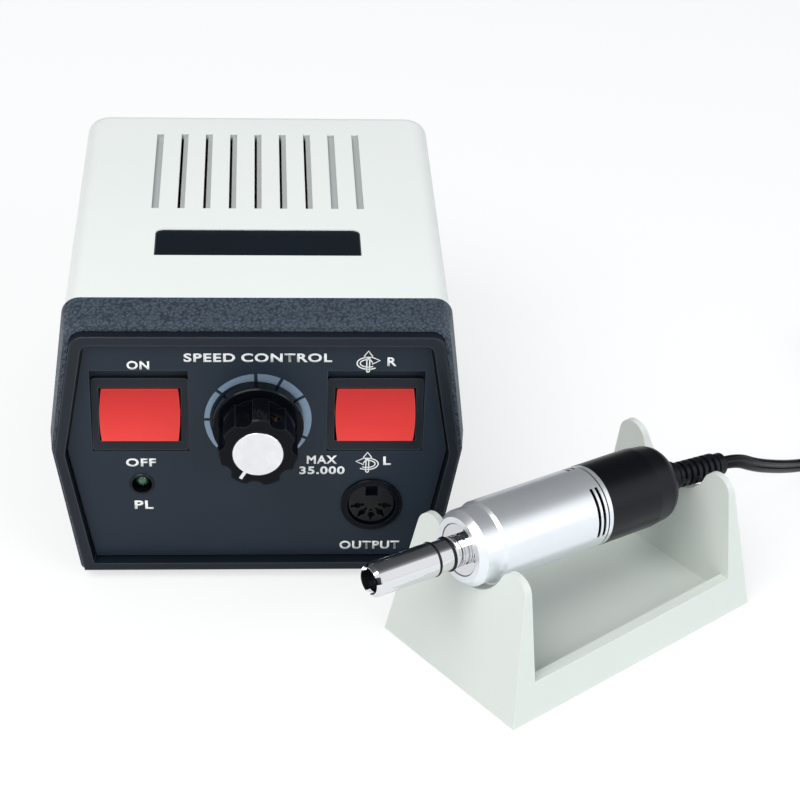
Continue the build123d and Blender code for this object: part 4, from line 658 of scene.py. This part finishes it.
def arrow_symbol(name, x, z, sign):
    """A rotation mark: an upright arrow with an arrow curling round it, mirrored by sign."""
    rod, low, neck = 0.45, -3.4, 1.2
    lines = [
        [(-rod, low), (-rod, neck)],
        arc(0, low, rod, rod, range(180, 361, 30)),
        [(rod, neck), (rod, low)],
        [(-1.3, 2.0), (0, 3.9), (1.3, 2.0), (rod, neck), (-rod, neck), (-1.3, 2.0)],
        arc(-0.1, -0.6, 3.6, 2.2, range(-128, 109, 12)),
        arc(-0.1, -0.6, 2.6, 1.4, range(-124, 97, 12)),
        [(-0.9, 1.75), (-3.7, 0.4), (-1.2, -0.9), (-1.2, -0.1), (-0.5, 0.9)],
    ]
    stroke(name, [[(x + sign * px, z + pz) for px, pz in pts] for pts in lines])


arrow_symbol("symbol_right", 34.3, 82.8, -1)
arrow_symbol("symbol_left", 35.0, 44.6, 1)

# Light, floor and backdrop
ambient_tint, ambient_strength = (0.93, 0.96, 1.0), 0.5
mirrored_strength = 0.95
# What bright surfaces mirror, along this direction: white low in front, dark overhead and behind
mirrored_dir = (-0.25, 0.62, 0.74)
mirrored_ends = ((1.0, 1.0, 1.0), (0.06, 0.065, 0.07))
mirrored_stops = ((0.30, 1.0), (0.42, 0.34), (0.62, 0.12))
floor_half = 4
floor_tint, floor_rough = (0.86, 0.87, 0.88), 0.8
paper_strength, paper_share = 1.10, 0.62


class Shaders:
    """Short calls for the node tree of the world or the floor."""

    def __init__(self, owner):
        owner.use_nodes = True
        self.tree = owner.node_tree

    def add(self, kind, *inputs):
        """A node with its inputs in order: a socket to join, a fixed value, or None to leave."""
        node = self.tree.nodes.new(kind)
        for socket, value in zip(node.inputs, inputs):
            if isinstance(value, bpy.types.NodeSocket):
                self.tree.links.new(value, socket)
            elif value is not None:
                socket.default_value = value
        return node

    def math(self, operation, a, b):
        node = self.add("ShaderNodeMath", a, b)
        node.operation = operation
        return node.outputs[0]

    def end(self, kind, shader):
        self.tree.links.new(shader.outputs[0], self.tree.nodes[kind].inputs["Surface"])


world = bpy.data.worlds.new("studio")
scene.world = world
sky = Shaders(world)
ambient = sky.tree.nodes["Background"]
ambient.inputs["Color"].default_value = (*ambient_tint, 1)
ambient.inputs["Strength"].default_value = ambient_strength
rays = sky.add("ShaderNodeLightPath").outputs
glow = sky.add("ShaderNodeBackground", (1, 1, 1, 1), 1.0)
outward = sky.add("ShaderNodeTexCoord").outputs["Generated"]
facing = sky.add("ShaderNodeVectorMath", outward, mirrored_dir)
facing.operation = "DOT_PRODUCT"
bands = sky.add("ShaderNodeValToRGB", facing.outputs["Value"])
stops = bands.color_ramp.elements
for stop, place, tint in zip(stops, (0.0, 1.0), mirrored_ends):
    stop.position, stop.color = place, (*tint, 1)
for place, grey in mirrored_stops:
    stops.new(place).color = (grey, grey * 1.01, grey * 1.03, 1)
mirrored = sky.add("ShaderNodeBackground", bands.outputs["Color"], mirrored_strength)
shiny = sky.add("ShaderNodeMixShader", rays["Is Glossy Ray"], ambient.outputs[0],
                mirrored.outputs[0])
seen = sky.math("MAXIMUM", rays["Is Camera Ray"], rays["Is Transmission Ray"])
sky.end("World Output", sky.add("ShaderNodeMixShader", seen, shiny.outputs[0], glow.outputs[0]))

corners = [(-floor_half, -floor_half, 0), (floor_half, -floor_half, 0),
           (floor_half, floor_half, 0), (-floor_half, floor_half, 0)]
floor = mesh_object("floor", corners, [(0, 1, 2, 3)], False)
floor_mat = bpy.data.materials.new("floor_paper")
sheet = Shaders(floor_mat)
base = sheet.tree.nodes["Principled BSDF"]
base.inputs["Base Color"].default_value = (*floor_tint, 1)
base.inputs["Roughness"].default_value = floor_rough
paper = sheet.add("ShaderNodeEmission", None, paper_strength)
rays = sheet.add("ShaderNodeLightPath").outputs
seen = sheet.math("MULTIPLY", rays["Is Camera Ray"], paper_share)
both = sheet.add("ShaderNodeMixShader", seen, base.outputs[0], paper.outputs[0])
sheet.end("Material Output", both)
floor.data.materials.append(floor_mat)


def lamp(name, place, aim, size, power, color):
    """A soft rectangular lamp; place, aim and size are in m, power in W."""
    data = bpy.data.lights.new(name, "AREA")
    data.shape = "RECTANGLE"
    data.size, data.size_y = size
    data.energy = power
    data.color = color
    obj = link(bpy.data.objects.new(name, data))
    obj.location = place
    obj.rotation_euler = (Vector(aim) - Vector(place)).to_track_quat("-Z", "Y").to_euler()


lamp("key", (-0.55, -0.80, 1.20), (0, 0, 0.03), (1.0, 0.8), 15.0, (1.0, 0.99, 0.965))
lamp("fill", (0.95, -1.0, 0.75), (0.05, 0, 0.03), (0.9, 0.7), 8.0, (0.95, 0.98, 1.0))
